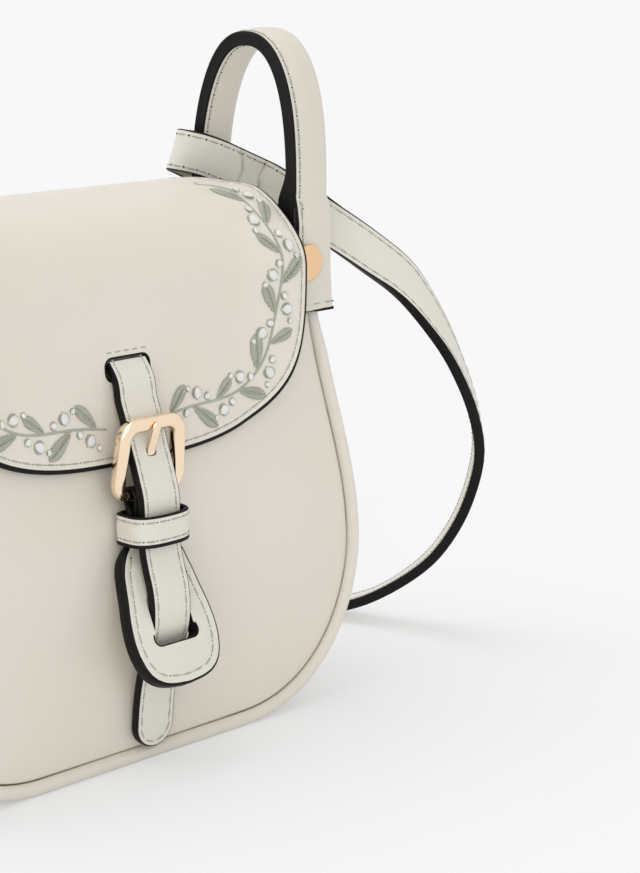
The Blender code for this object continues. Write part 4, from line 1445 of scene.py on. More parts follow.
@dataclass
class Flap:
    """The flap with its lining, slot, seam and embroidered garland."""

    shop: Workshop
    tip: float = 0.0955
    width: float = 0.1492
    hinge_width: float = 0.112
    flare_start: float = 0.008
    flare_length: float = 0.032
    round_length: float = 0.063
    power: float = 3.1
    leather: float = 0.0021
    lining: float = 0.0008
    back_radius: float = 0.0062
    back_overhang: float = 0.001
    slot_width: float = 0.0172
    slot_bottom: float = 0.1208
    slot_top: float = 0.1276
    slot_radius: float = 0.0026
    slot_row_gap: float = 0.0019
    slot_row_width: float = 0.0136
    slot_row_sink: float = 0.0001
    front_row: int = 60
    seam_inset: float = 0.0029
    garland_inset: float = 0.0118
    garland_wave: float = 0.0011
    garland_wave_reach: float = 0.0074
    garland_top_run: float = 0.030
    strap_clearance: float = 0.0112
    leaf_length: float = 0.0112
    leaf_width: float = 0.0054
    leaf_spacing: float = 0.0098
    leaf_sizes: tuple = (0.94, 0.12, 2.1)
    leaf_leans: tuple = (0.66, 0.10, 1.7)
    first_leaf: float = 0.0030
    last_leaf_room: float = 0.004
    berry_length: float = 0.0032
    berry_width: float = 0.0034
    berry_rise: float = 0.0002
    berry_spin: float = 0.9
    berry_twist: float = 300.0
    berry_places: tuple = ((0.0026, 0.0036, 1.0), (0.0066, 0.0018, 0.66), (-0.0008, 0.0056, 0.50))
    outline_share: float = 1.2
    thread_rise: float = 0.00005
    slot_paint: float = 0.00055
    slot_depth: float = 0.008
    lining_inset: float = 0.0009

    def line(self) -> FlapLay:
        """Lay out the flap's outer face at the middle.

        Returns:
            The line from its hinge to its tip.
        """
        back = SHAPE.top_depth / 2 + self.back_overhang
        low = SHAPE.back_height + 2 * SHAPE.gap
        level = SHAPE.flap_top - SHAPE.flap_dome
        forward, bend = SHAPE.flap_bend()
        angle = np.radians(90) * np.linspace(0, 1, 14)
        parts = [np.array([[back, low]]), np.column_stack([
            back - self.back_radius * (1 - np.cos(angle)), level - self.back_radius * (1 - np.sin(angle))])]
        share = np.linspace(0, 1, 40)[1:-1]
        start = back - self.back_radius
        dome = level + 4 * SHAPE.flap_dome * share * (1 - share)
        parts.append(np.column_stack([mix(start, -forward, share), dome]))
        angle = np.radians(90) * np.linspace(0, 1, 50)
        radius = SHAPE.flap_front_radius
        parts.append(np.column_stack([-forward - radius * np.sin(angle), bend + radius * np.cos(angle)]))
        height = np.linspace(bend, self.tip, 70)[1:]
        face = SHAPE.back_depth(height) + SHAPE.flap_clearance + SHAPE.flap_stack
        parts.append(np.column_stack([-face, height]))
        path = np.vstack(parts)
        return FlapLay(np.column_stack([np.zeros(len(path)), path]), (1, 0, 0))

    def cut(self, lay: Lay, inset: float) -> Array:
        """Right half of the flap's cut.

        Args:
            lay: The flap's line.
            inset: How far it is drawn in.

        Returns:
            Flat points from the hinge to the tip.
        """
        whole = lay.length
        straight = whole - self.round_length
        angle = np.radians(90) * np.linspace(0, 1, 56)
        run = np.concatenate([np.linspace(0, straight, 46)[:-1],
                              straight + self.round_length * np.sin(angle)])
        drop = np.clip((run - straight) / self.round_length, 0, 1)
        flare = mix(self.hinge_width, self.width, ease(run, self.flare_start, self.flare_length)) / 2
        half = flare * (1 - drop ** self.power) ** (1 / self.power)
        edge = np.column_stack([half, run])
        normal = Hide.outwards(edge, 1)
        normal[-1] = (0, 1)
        moved = edge - normal * inset
        moved[-1, 0] = 0
        return moved

    def garland_line(self, lay: Lay) -> Array:
        """Lay out the garland's right half.

        Args:
            lay: The flap's line.

        Returns:
            Dense flat points from beside the strap up to the flap's top.
        """
        edge = self.cut(lay, self.garland_inset)
        runs = run_of(edge)
        table = np.linspace(0, runs[-1], 900)
        line = np.column_stack([np.interp(table, runs, edge[:, 0]), np.interp(table, runs, edge[:, 1])])
        keep = (line[:, 0] > self.strap_clearance) & (line[:, 1] > self.garland_top_run)
        line = line[keep][::-1]
        wave = self.garland_wave * np.sin(run_of(line) / self.garland_wave_reach)
        return line + Hide.outwards(line, 1) * wave[:, None]

    def motifs(self, lay: Lay) -> tuple:
        """Lay out the leaves and berries on both sides of the flap.

        Args:
            lay: The flap's line.

        Returns:
            The leaves and the berries: distance across, along and above, heading and size of each.
        """
        line = self.garland_line(lay)
        along = run_of(line)
        heading = np.unwrap(np.arctan2(*np.gradient(line, axis=0).T[::-1]))
        leaves, berries = [], []
        for index in range(int((along[-1] - self.last_leaf_room) / self.leaf_spacing)):
            run = self.first_leaf + self.leaf_spacing * index
            x, v = (float(np.interp(run, along, line[:, axis])) for axis in (0, 1))
            turn = float(np.interp(run, along, heading))
            side = 1 if index % 2 else -1
            size, lean = (middle + swing * math.sin(index * beat)
                          for middle, swing, beat in (self.leaf_sizes, self.leaf_leans))
            leaves.append((x, v, self.thread_rise, turn + side * lean, size))
            for ahead, beside, scale in self.berry_places:
                bx = x + math.cos(turn) * ahead + math.sin(turn) * beside * side
                bv = v + math.sin(turn) * ahead - math.cos(turn) * beside * side
                spin = index * self.berry_spin + ahead * self.berry_twist
                berries.append((bx, bv, self.thread_rise + self.berry_rise, spin, scale))
        result = []
        for table in (np.array(leaves), np.array(berries)):
            other = table * (-1, 1, 1, 1, 1)
            other[:, 3] = math.pi - table[:, 3]
            result.append(np.vstack([table, other]))
        return tuple(result)

    def garland(self, lay: Lay) -> None:
        """Sew a plain leafy garland with berries along both sides of the flap.

        Args:
            lay: The flap's line.
        """
        shop = self.shop
        leaves, berries = self.motifs(lay)
        sage, pearl = shop.palette["sage_silk"], shop.palette["pearl_silk"]
        round_motif = {"Length": self.berry_length, "Width": self.berry_width, "Slant": math.pi / 2}
        leaf = shop.embroider("flap_leaves", lay, shop.leaf, leaves, Length=self.leaf_length,
                              Width=self.leaf_width, Thread_Radius=0.00036, Slant=0.62, Dome=0.00025,
                              Finish=sage)
        berry = shop.embroider("flap_berries", lay, shop.berry, berries, Thread_Radius=0.00028,
                               Dome=0.0005, Finish=pearl, **round_motif)
        # Under each berry a larger, flatter berry in sage thread: painted shadow round the raised berry
        under = berries * (1, 1, 1, 1, self.outline_share) - (0, 0, self.berry_rise, 0, 0)
        outline = shop.embroider("flap_berry_outlines", lay, shop.berry, under, Thread_Radius=0.00026,
                                 Dome=0.0001, Finish=sage, **round_motif)
        line = self.garland_line(lay)
        stems = [np.column_stack([line * (mirror, 1), np.full(len(line), self.thread_rise)])
                 for mirror in (1, -1)]
        stem = shop.sew("flap_garland_stem", lay, stems, pitch=0.00085, Stitch_Length=0.0021,
                        Thread_Width=0.0006, Thread_Height=0.0006, Slant=0.38, Hole_Width=0.0, Thread=sage)
        for item in (leaf, berry, outline, stem):
            shop.dress(item, "flap_body", "cream_leather")

    def build(self) -> None:
        """Make and dress the flap."""
        shop = self.shop
        lay = self.line()
        cut = self.cut(lay, 0)
        rim = Rim(bevel=0.0010, seam=self.seam_inset, press=0.00028, settle=0.0055, lip=0.0004)
        hide = Hide("flap_leather", lay, cut, cut * (-1, 1), self.leather, right_rim=rim, left_rim=rim,
                    columns=40, level=-self.leather / 2)
        piece = hide.build(shop.palette["cream_leather_skin"], shop.palette["painted_edge"])
        inner = self.cut(lay, self.lining_inset)
        inner[:, 1] = np.maximum(inner[:, 1], 0.0)
        plain = Rim(bevel=0.0003, press=0.0)
        cloth = Hide("flap_lining_cloth", lay, inner, inner * (-1, 1), self.lining, right_rim=plain,
                     left_rim=plain, columns=30, level=-(SHAPE.flap_stack - self.lining / 2))
        lining = cloth.build(shop.palette["lining_cloth"], shop.palette["lining_cloth"])
        front = slice(self.front_row, None)
        run_low, run_high = (float(np.interp(-z, -lay.points[front, 2], lay.runs[front]))
                             for z in (self.slot_top, self.slot_bottom))
        loop = rounded_loop(self.slot_width / 2, run_low, run_high, self.slot_radius)
        for item in (piece, lining):
            punched = punch("slot_punch", lay, loop, self.slot_depth, shop.palette["painted_edge"])
            cut_through(item, [punched])
        shop.dress(piece, "flap_body", "cream_leather", "flap")
        paint = paint_strip("flap_slot_paint", lay, loop, self.slot_paint, 0.0, shop.palette["painted_edge"])
        shop.dress(paint, "flap_body", "cream_leather")
        shop.dress(lining, "flap_body", "lining_fabric", "flap_lining")
        reach = self.slot_row_width / 2
        row = [np.array([[x, run_low - self.slot_row_gap, -self.slot_row_sink] for x in (-reach, reach)])]
        for seam in (shop.sew("flap_seam", lay, hide.seam(self.seam_inset, both_ends=True)),
                     shop.sew("flap_slot_seam", lay, row, pitch=self.slot_row_width / 4)):
            shop.dress(seam, "flap_body", "cream_leather")
        self.garland(lay)


@dataclass
class Closure:
    """Closure strap, tab, keeper, buckle and prong."""

    shop: Workshop
    strap_width: float = 0.0148
    strap_leather: float = 0.0030
    strap_seam: float = 0.0018
    strap_route: tuple = (
        (0.0284, 0.1258), (0.0320, 0.1210), (0.0332, 0.1150), (0.0350, 0.1105), (0.0363, 0.1065),
        (0.0377, 0.1015), (0.0396, 0.0965), (0.0413, 0.0915), (0.0426, 0.0875), (0.0431, 0.0835),
        (0.0431, 0.0760), (0.0433, 0.0700), (0.0446, 0.0645), (0.0462, 0.0595), (0.0470, 0.0550),
        (0.0471, 0.0505), (0.0468, 0.0468), (0.0458, 0.0430), (0.0443, 0.0390), (0.0425, 0.0345),
        (0.0409, 0.0295), (0.0394, 0.0230), (0.0384, 0.0155), (0.0380, 0.0100), (0.0379, 0.0052))
    tab_route: tuple = (
        (0.0356, 0.0843, 0.0012, 0.0147), (0.0366, 0.0829, 0.0016, 0.0155), (0.0373, 0.0813, 0.0024, 0.0158),
        (0.0373, 0.0735, 0.0024, 0.0162), (0.0373, 0.0712, 0.0026, 0.0174), (0.0375, 0.0694, 0.0036, 0.0208),
        (0.0381, 0.0668, 0.0046, 0.0244), (0.0391, 0.0630, 0.0048, 0.0268), (0.0409, 0.0590, 0.0048, 0.0286),
        (0.0427, 0.0550, 0.0048, 0.0301), (0.0445, 0.0510, 0.0048, 0.0320), (0.0463, 0.0470, 0.0048, 0.0332),
        (0.0479, 0.0435, 0.0048, 0.0336), (0.0495, 0.0400, 0.0048, 0.0330), (0.0511, 0.0365, 0.0048, 0.0310),
        (0.0522, 0.0340, 0.0048, 0.0283), (0.05315, 0.0320, 0.0048, 0.0242), (0.0538, 0.0305, 0.0048, 0.0186),
        (0.05415, 0.0297, 0.0048, 0.0120), (0.05435, 0.0293, 0.0048, 0.0040))
    tilt: float = math.atan2(0.0155, 0.0341)
    tab_slot: tuple = (0.0476, 0.0433)
    tab_slot_width: float = 0.0172
    tab_slot_length: float = 0.0048
    tab_slot_corner: float = 0.0023
    tab_slot_paint: float = 0.00045
    tab_slot_depth: float = 0.012
    tab_relief_length: float = 0.0160
    tab_relief_corner: float = 0.0021
    tab_relief_rise: float = 0.0007
    tab_relief_depth: float = 0.0113
    tab_seam: float = 0.0031
    tab_seam_top: float = 0.066
    tab_room: float = 0.0003
    slope_reach: float = 0.03
    fold_leather: float = 0.0012
    fold_start: float = 0.0810
    fold_end: float = 0.0762
    fold_room: float = 0.003
    fold_turn: float = 205.0
    fold_paint_height: float = 0.0735
    buckle_width: float = 0.026
    buckle_height: float = 0.0265
    buckle_thickness: float = 0.0032
    buckle_bar: float = 0.0037
    pin_bar: float = 0.0026
    pin_edge: float = 0.0007
    buckle_corner: float = 0.0066
    buckle_edge: float = 0.0013
    buckle_fuller: float = 0.0007
    buckle_lower: float = 0.0006
    buckle_spread: float = 0.0010
    spread_reach: float = 0.001
    fuller_reach: float = 0.012
    buckle_forward: float = 0.0375
    buckle_lean: float = 0.0026
    buckle_bottom: float = 0.0850
    prong_width: float = 0.0032
    prong_thickness: float = 0.0012
    prong_faces: int = 14
    prong_power: float = 0.7
    prong_reach: float = 0.0006
    prong_route: tuple = (
        (0.0400, 0.0900), (0.0396, 0.0945), (0.0394, 0.0975), (0.0400, 0.1004), (0.0413, 0.1034))
    prong_step: tuple = (0.1066, 0.0004)
    prong_room: float = 0.0008
    prong_hole_start: float = 0.0018
    prong_eye_corner: float = 0.0012
    keeper_leather: float = 0.0015
    keeper_width: float = 0.0222
    keeper_bulge: float = 0.0008
    keeper_front_power: float = 2.7
    keeper_back_power: float = 8.0
    keeper_front: float = 0.0475
    keeper_back: float = 0.0344
    keeper_height: float = 0.0094
    keeper_bottom: float = 0.0724
    keeper_paint: float = 0.0010
    keeper_seam: float = 0.0018
    keeper_pitch: float = 0.0040
    thread_sink: float = 0.00005
    tab_slot_bare: tuple = (17, 24)
    tab_tail_rows: int = 60

    @staticmethod
    def upright(route: Array) -> Lay:
        """A line in the bag's middle plane from rows of distance forward and height."""
        route = np.asarray(route, float)
        return Lay(np.column_stack([np.zeros(len(route)), -route[:, 0], route[:, 1]]), (1, 0, 0))

    @property
    def bar_height(self) -> float:
        """Height of the middle of the buckle's lower bar."""
        return self.buckle_bottom + self.pin_bar / 2

    @property
    def fold_radius(self) -> float:
        """Inner radius of what goes round the buckle's lower bar."""
        edge = self.pin_edge
        return math.hypot(self.buckle_thickness / 2 - edge, self.pin_bar / 2 - edge) + edge + SHAPE.gap

    def strap(self) -> None:
        """Make the strap from the flap's slot to its round tip."""
        shop = self.shop
        lay = self.upright(smooth_rows(self.strap_route, 0.0008, 2))
        half = self.strap_width / 2
        body = lay.length - half
        angle = np.radians(90) * np.linspace(0, 1, 18)
        run = np.concatenate([np.linspace(0, body, 110)[:-1], body + half * np.sin(angle)])
        wide = np.concatenate([np.full(109, half), half * np.cos(angle)])
        cut = np.column_stack([wide, run])
        rim = Rim(bevel=0.00045, seam=self.strap_seam, press=0.00016, settle=0.0032)
        hide = Hide("closure_strap_leather", lay, cut, cut * (-1, 1), self.strap_leather, right_rim=rim,
                    left_rim=rim, columns=8, crown=0.00008)
        piece = hide.build(shop.palette["pale_leather_skin"], shop.palette["painted_edge"])
        # The prong hole is lined with the darker copy of the pale leather: painted shade on its walls
        hole = self.prong_body("prong_hole_punch", self.prong_room, shop.palette["folded_leather_skin"])
        cut_through(piece, [hole])
        shop.dress(piece, "closure", "pale_leather", "closure_strap")
        seam = shop.sew("closure_strap_seam", lay, hide.seam(self.strap_seam, both_ends=True))
        shop.dress(seam, "closure", "pale_leather")

    def tab_hide(self) -> Hide:
        """Lay out the tab, from the end of its fold behind the buckle's bar to its round tip.

        Returns:
            The tab's leather.
        """
        radius = self.fold_radius + self.fold_leather / 2
        width = self.tab_route[0][3]
        rows = [(self.buckle_forward + radius, self.fold_end, self.fold_leather, width),
                (self.buckle_forward + radius, self.fold_start, self.fold_leather, width)]
        for angle in np.radians(np.linspace(0, self.fold_turn, 30)):
            rows.append((self.buckle_forward + radius * math.cos(angle),
                         self.bar_height + radius * math.sin(angle), self.fold_leather, width))
        rows += list(self.tab_route[:-6])
        table = smooth_rows(rows, 0.0009, 2)
        tail = np.array(self.tab_route[-7:])
        tip = tail[-1, :2] + (tail[-1, :2] - tail[-2, :2]) * 0.35
        line = self.upright(np.vstack([table[:, :2], tail[1:, :2], [tip]]))
        thickness = np.concatenate([table[:, 2], tail[1:, 2], [tail[-1, 2]]])
        tail_run = line.runs[len(table) - 1:]
        start = tail_run[0]
        angle = np.radians(90) * np.linspace(0, 1, 22)
        end_run = start + (line.length - start) * np.sin(angle)
        turned = np.arcsin(np.clip((tail_run - start) / (line.length - start), 0, 1))
        end_width = np.interp(angle, turned, np.append(tail[:, 3], 0.0))
        run = np.concatenate([line.runs[:len(table) - 1], end_run])
        cut = np.column_stack([np.concatenate([table[:-1, 3], end_width]) / 2, run])
        rim = Rim(bevel=0.0009, seam=self.tab_seam, press=0.0003, settle=0.0052)
        return Hide("closure_tab_leather", line, cut, cut * (-1, 1), np.interp(run, line.runs, thickness),
                    right_rim=rim, left_rim=rim, columns=10, crown=0.0001)

    def tab_punches(self, paint: Material) -> list:
        """Make what cuts the tab's slot, the strap's way into it and the prong's eye.

        Args:
            paint: Material that lines the cuts.

        Returns:
            The cutting bodies.
        """
        forward, height = self.tab_slot
        down = np.array((0.0, -math.sin(self.tilt), -math.cos(self.tilt))) * self.slope_reach
        middle = np.array((0.0, -forward, height))
        slope = Lay(np.array([middle - down, middle, middle + down]), (1, 0, 0))
        low = self.slope_reach - self.tab_slot_length / 2
        high = self.slope_reach + self.tab_slot_length / 2
        reach = self.fold_radius + self.fold_leather + self.fold_room
        eye = Lay(np.array([(0, -self.buckle_forward, self.bar_height + reach),
                            (0, -self.buckle_forward, self.bar_height - reach)]), (1, 0, 0))
        slot = rounded_loop(self.tab_slot_width / 2, low, high, self.tab_slot_corner)
        way = rounded_loop(self.strap_width / 2 + self.tab_room, high - self.tab_relief_length,
                           high - self.tab_relief_rise, self.tab_relief_corner)
        hole = rounded_loop(self.prong_width / 2 + self.tab_room, 0, 2 * reach, self.prong_eye_corner)
        return [punch("tab_slot_punch", slope, slot, self.tab_slot_depth, paint),
                punch("tab_relief_punch", slope, way, self.tab_relief_depth, paint),
                punch("prong_eye_punch", eye, hole, reach, paint)]

    def tab(self) -> None:
        """Make the padded tab with its fold round the buckle and its slot."""
        shop = self.shop
        paint = shop.palette["painted_edge"]
        hide = self.tab_hide()
        line = hide.lay
        piece = hide.build(shop.palette["pale_leather_skin"], paint)
        cut_through(piece, self.tab_punches(paint))
        # The fold round the buckle's lower bar takes the black edge paint, partly as painted shade behind the
        # buckle and the keeper
        for face in piece.data.polygons:
            if face.center.z > self.fold_paint_height:
                face.material_index = 1
        shop.dress(piece, "closure", "pale_leather", "closure_tab")
        forward, height = self.tab_slot
        away = np.linalg.norm(line.points - (0.0, -forward, height), axis=1)
        away[line.points[:, 2] > self.tab_seam_top] = 1
        here = float(line.runs[int(np.argmin(away))])
        half_slot = self.tab_slot_length / 2
        opening = rounded_loop(self.tab_slot_width / 2, here - half_slot, here + half_slot,
                               self.tab_slot_corner)
        level = float(np.interp(here, hide.right[:, 1], hide.thickness)) / 2 + self.thread_sink
        # The paint leaves out the slot's upper side, where the strap goes in
        opening = np.vstack([opening[self.tab_slot_bare[1]:], opening[:self.tab_slot_bare[0]]])
        strip = paint_strip("tab_slot_paint", line, opening, self.tab_slot_paint, level, paint, closed=False)
        shop.dress(strip, "closure", "pale_leather")
        lines = hide.seam(self.tab_seam, both_ends=True)[0]
        tail = slice(-self.tab_tail_rows, None)
        top_run = float(np.interp(-self.tab_seam_top, -line.points[tail, 2], line.runs[tail]))
        lines = lines[lines[:, 1] > top_run]
        shop.dress(shop.sew("closure_tab_seam", line, [lines]), "closure", "pale_leather")

    def keeper(self) -> None:
        """Make the keeper, a closed leather band."""
        shop = self.shop
        wall = self.keeper_leather
        middle_depth = (self.keeper_front + self.keeper_back) / 2
        turns = np.radians(360) * np.arange(72) / 72
        front = np.sin(turns) > 0
        power = np.where(front, self.keeper_front_power, self.keeper_back_power)
        deep = np.where(front, self.keeper_front + self.keeper_bulge, 2 * middle_depth - self.keeper_back)
        aside, ahead = (np.sign(wave) * np.abs(wave) ** (2 / power)
                        for wave in (np.cos(turns), np.sin(turns)))
        loop = np.column_stack([(self.keeper_width / 2 - wall / 2) * aside,
                                middle_depth + (deep - middle_depth - wall / 2) * ahead])
        dense = smooth_rows(np.vstack([loop, loop[:1]]), 0.0006, 2)
        middle = self.keeper_bottom + self.keeper_height / 2
        points = np.column_stack([dense[:, 0], -dense[:, 1], np.full(len(dense), middle)])
        lay = Lay(points[::-1], (0, 0, 1), closed=True)
        half = self.keeper_height / 2
        run = lay.runs[:-1]
        cut = np.column_stack([np.full(len(run), half), run])
        rim = Rim(bevel=0.0006, seam=self.keeper_seam, press=0.00012, settle=0.0028)
        hide = Hide("keeper_leather", lay, cut, cut * (-1, 1), wall, right_rim=rim, left_rim=rim, columns=4,
                    crown=0.0001, closed=True)
        piece = hide.build(shop.palette["pale_leather_skin"], shop.palette["painted_edge"])
        # The keeper's inner faces take the black edge paint: painted shade inside the loop
        centre = Vector((0, -middle_depth, middle))
        for face in piece.data.polygons:
            if face.normal.dot(face.center - centre) < 0:
                face.material_index = 1
        shop.dress(piece, "keeper", "pale_leather", "keeper_loop")
        edge_line = np.column_stack([np.full(len(run), -half), run])
        strip = paint_strip("keeper_edge_paint", lay, edge_line, self.keeper_paint, wall / 2,
                            shop.palette["painted_edge"])
        shop.dress(strip, "keeper", "pale_leather")
        whole = np.ones_like(lay.runs)
        lines = [np.column_stack([side * (half - self.keeper_seam) * whole, lay.runs,
                                  (wall / 2 - self.thread_sink) * whole]) for side in (1, -1)]
        shop.dress(shop.sew("keeper_seam", lay, lines, pitch=self.keeper_pitch), "keeper", "pale_leather")

    def buckle(self) -> None:
        """Make the buckle's frame, with a broad rounded face."""
        top = self.buckle_bottom + self.buckle_height - self.buckle_lower
        half = self.buckle_width / 2
        steps = 14
        bar = self.buckle_bar + self.buckle_fuller
        outer = rounded_loop(half, self.buckle_bottom, top, self.buckle_corner, steps)
        inner = rounded_loop(half - bar, self.buckle_bottom + self.pin_bar, top - bar,
                             self.buckle_corner - self.buckle_bar, steps)
        edge = self.buckle_edge
        angles = np.radians(np.linspace(0, 90, 6))
        profile = []
        for side, front in ((0, 1), (1, 1), (1, -1), (0, -1)):
            turns = angles if (side, front) in ((0, 1), (1, -1)) else angles[::-1]
            for angle in turns:
                profile.append((side, edge * (1 - math.cos(angle)), front, edge * (1 - math.sin(angle))))
        build = bmesh.new()
        rings = []
        top_height = top - bar / 2
        for out, into in zip(outer, inner):
            wide = np.linalg.norm(out - into)
            ring = []
            for side, inward, front, cut in profile:
                share = inward / wide if side == 0 else 1 - inward / wide
                x, z = out + (into - out) * share
                up = float(ease(z, self.bar_height, self.fuller_reach))
                deep = (self.buckle_thickness + self.buckle_fuller * up) / 2
                risen = (z - self.bar_height) / (top_height - self.bar_height)
                lean = self.buckle_forward + self.buckle_lean * risen
                aside = float(ease(abs(x), half - bar - self.spread_reach, self.spread_reach))
                low = 1 - float(ease(z, self.bar_height, self.buckle_height * 0.8))
                spread = math.copysign(self.buckle_spread * aside * low, x)
                ring.append(build.verts.new((x + spread, -(lean + front * (deep - cut)), z)))
            rings.append(ring)
        loft(build, rings, closed=True)
        item = finish_mesh("buckle_frame_polished", build, [self.shop.palette["rose_gold_plate"]], 60)
        self.shop.dress(item, "frame", "rose_gold", "buckle_frame")

    def prong_rows(self) -> Array:
        """Lay out the prong's middle line, from its loop round the lower bar to its tip.

        Returns:
            Rows of distance forward and height.
        """
        radius = self.fold_radius + self.prong_thickness / 2
        rows = [(self.buckle_forward + radius * math.cos(angle), self.bar_height + radius * math.sin(angle))
                for angle in np.radians(np.linspace(120, 355, 24))]
        bar = self.buckle_bar + self.buckle_fuller
        top_height = self.buckle_bottom + self.buckle_height - self.buckle_lower - bar / 2
        high = (self.buckle_forward + self.buckle_lean + (self.buckle_thickness + self.buckle_fuller) / 2
                + SHAPE.gap / 2 + self.prong_thickness / 2)
        height, step = self.prong_step
        rows += [*self.prong_route, (high - step, height), (high, top_height - step),
                 (high, top_height + self.prong_reach)]
        return smooth_rows(rows, 0.0009, 2)

    def prong_body(self, name: str, spare: float, finish: Material) -> Piece:
        """A rounded rod along the prong's line.

        Args:
            name: Its name.
            spare: How much wider and thicker it is than the prong.
            finish: Its material.

        Returns:
            The rod.
        """
        rows = self.prong_rows()
        if spare:
            rows = rows[rows[:, 1] > self.bar_height + self.prong_hole_start]
        lay = self.upright(rows)
        wide = (self.prong_width + spare) / 2
        thick = (self.prong_thickness + spare) / 2
        cap = np.array([0.0, 0.25, 0.6, 1.0]) * wide
        between = lay.runs[(lay.runs > wide * 1.1) & (lay.runs < lay.length - wide * 1.1)]
        angle = math.tau * np.arange(self.prong_faces) / self.prong_faces
        across, height = (np.sign(wave) * np.abs(wave) ** self.prong_power
                          for wave in (np.cos(angle), np.sin(angle)))
        build = bmesh.new()
        rings = []
        for run in np.concatenate([cap, between, lay.length - cap[::-1]]):
            left = min(run, lay.length - run)
            share = math.sqrt(max(1 - (1 - min(left / wide, 1)) ** 2, 0.02))
            flat = np.column_stack([across * wide * share, np.full(len(angle), run),
                                    height * thick * (0.55 + 0.45 * share)])
            rings.append([build.verts.new(place) for place in lay.place(flat)])
        loft(build, rings)
        return finish_mesh(name, build, [finish], 70)

    def build(self) -> None:
        """Make and dress the whole closure."""
        self.strap()
        self.tab()
        self.keeper()
        self.buckle()
        prong = self.prong_body("buckle_prong_polished", 0.0, self.shop.palette["rose_gold_plate"])
        self.shop.dress(prong, "prong", "rose_gold", "buckle_prong")


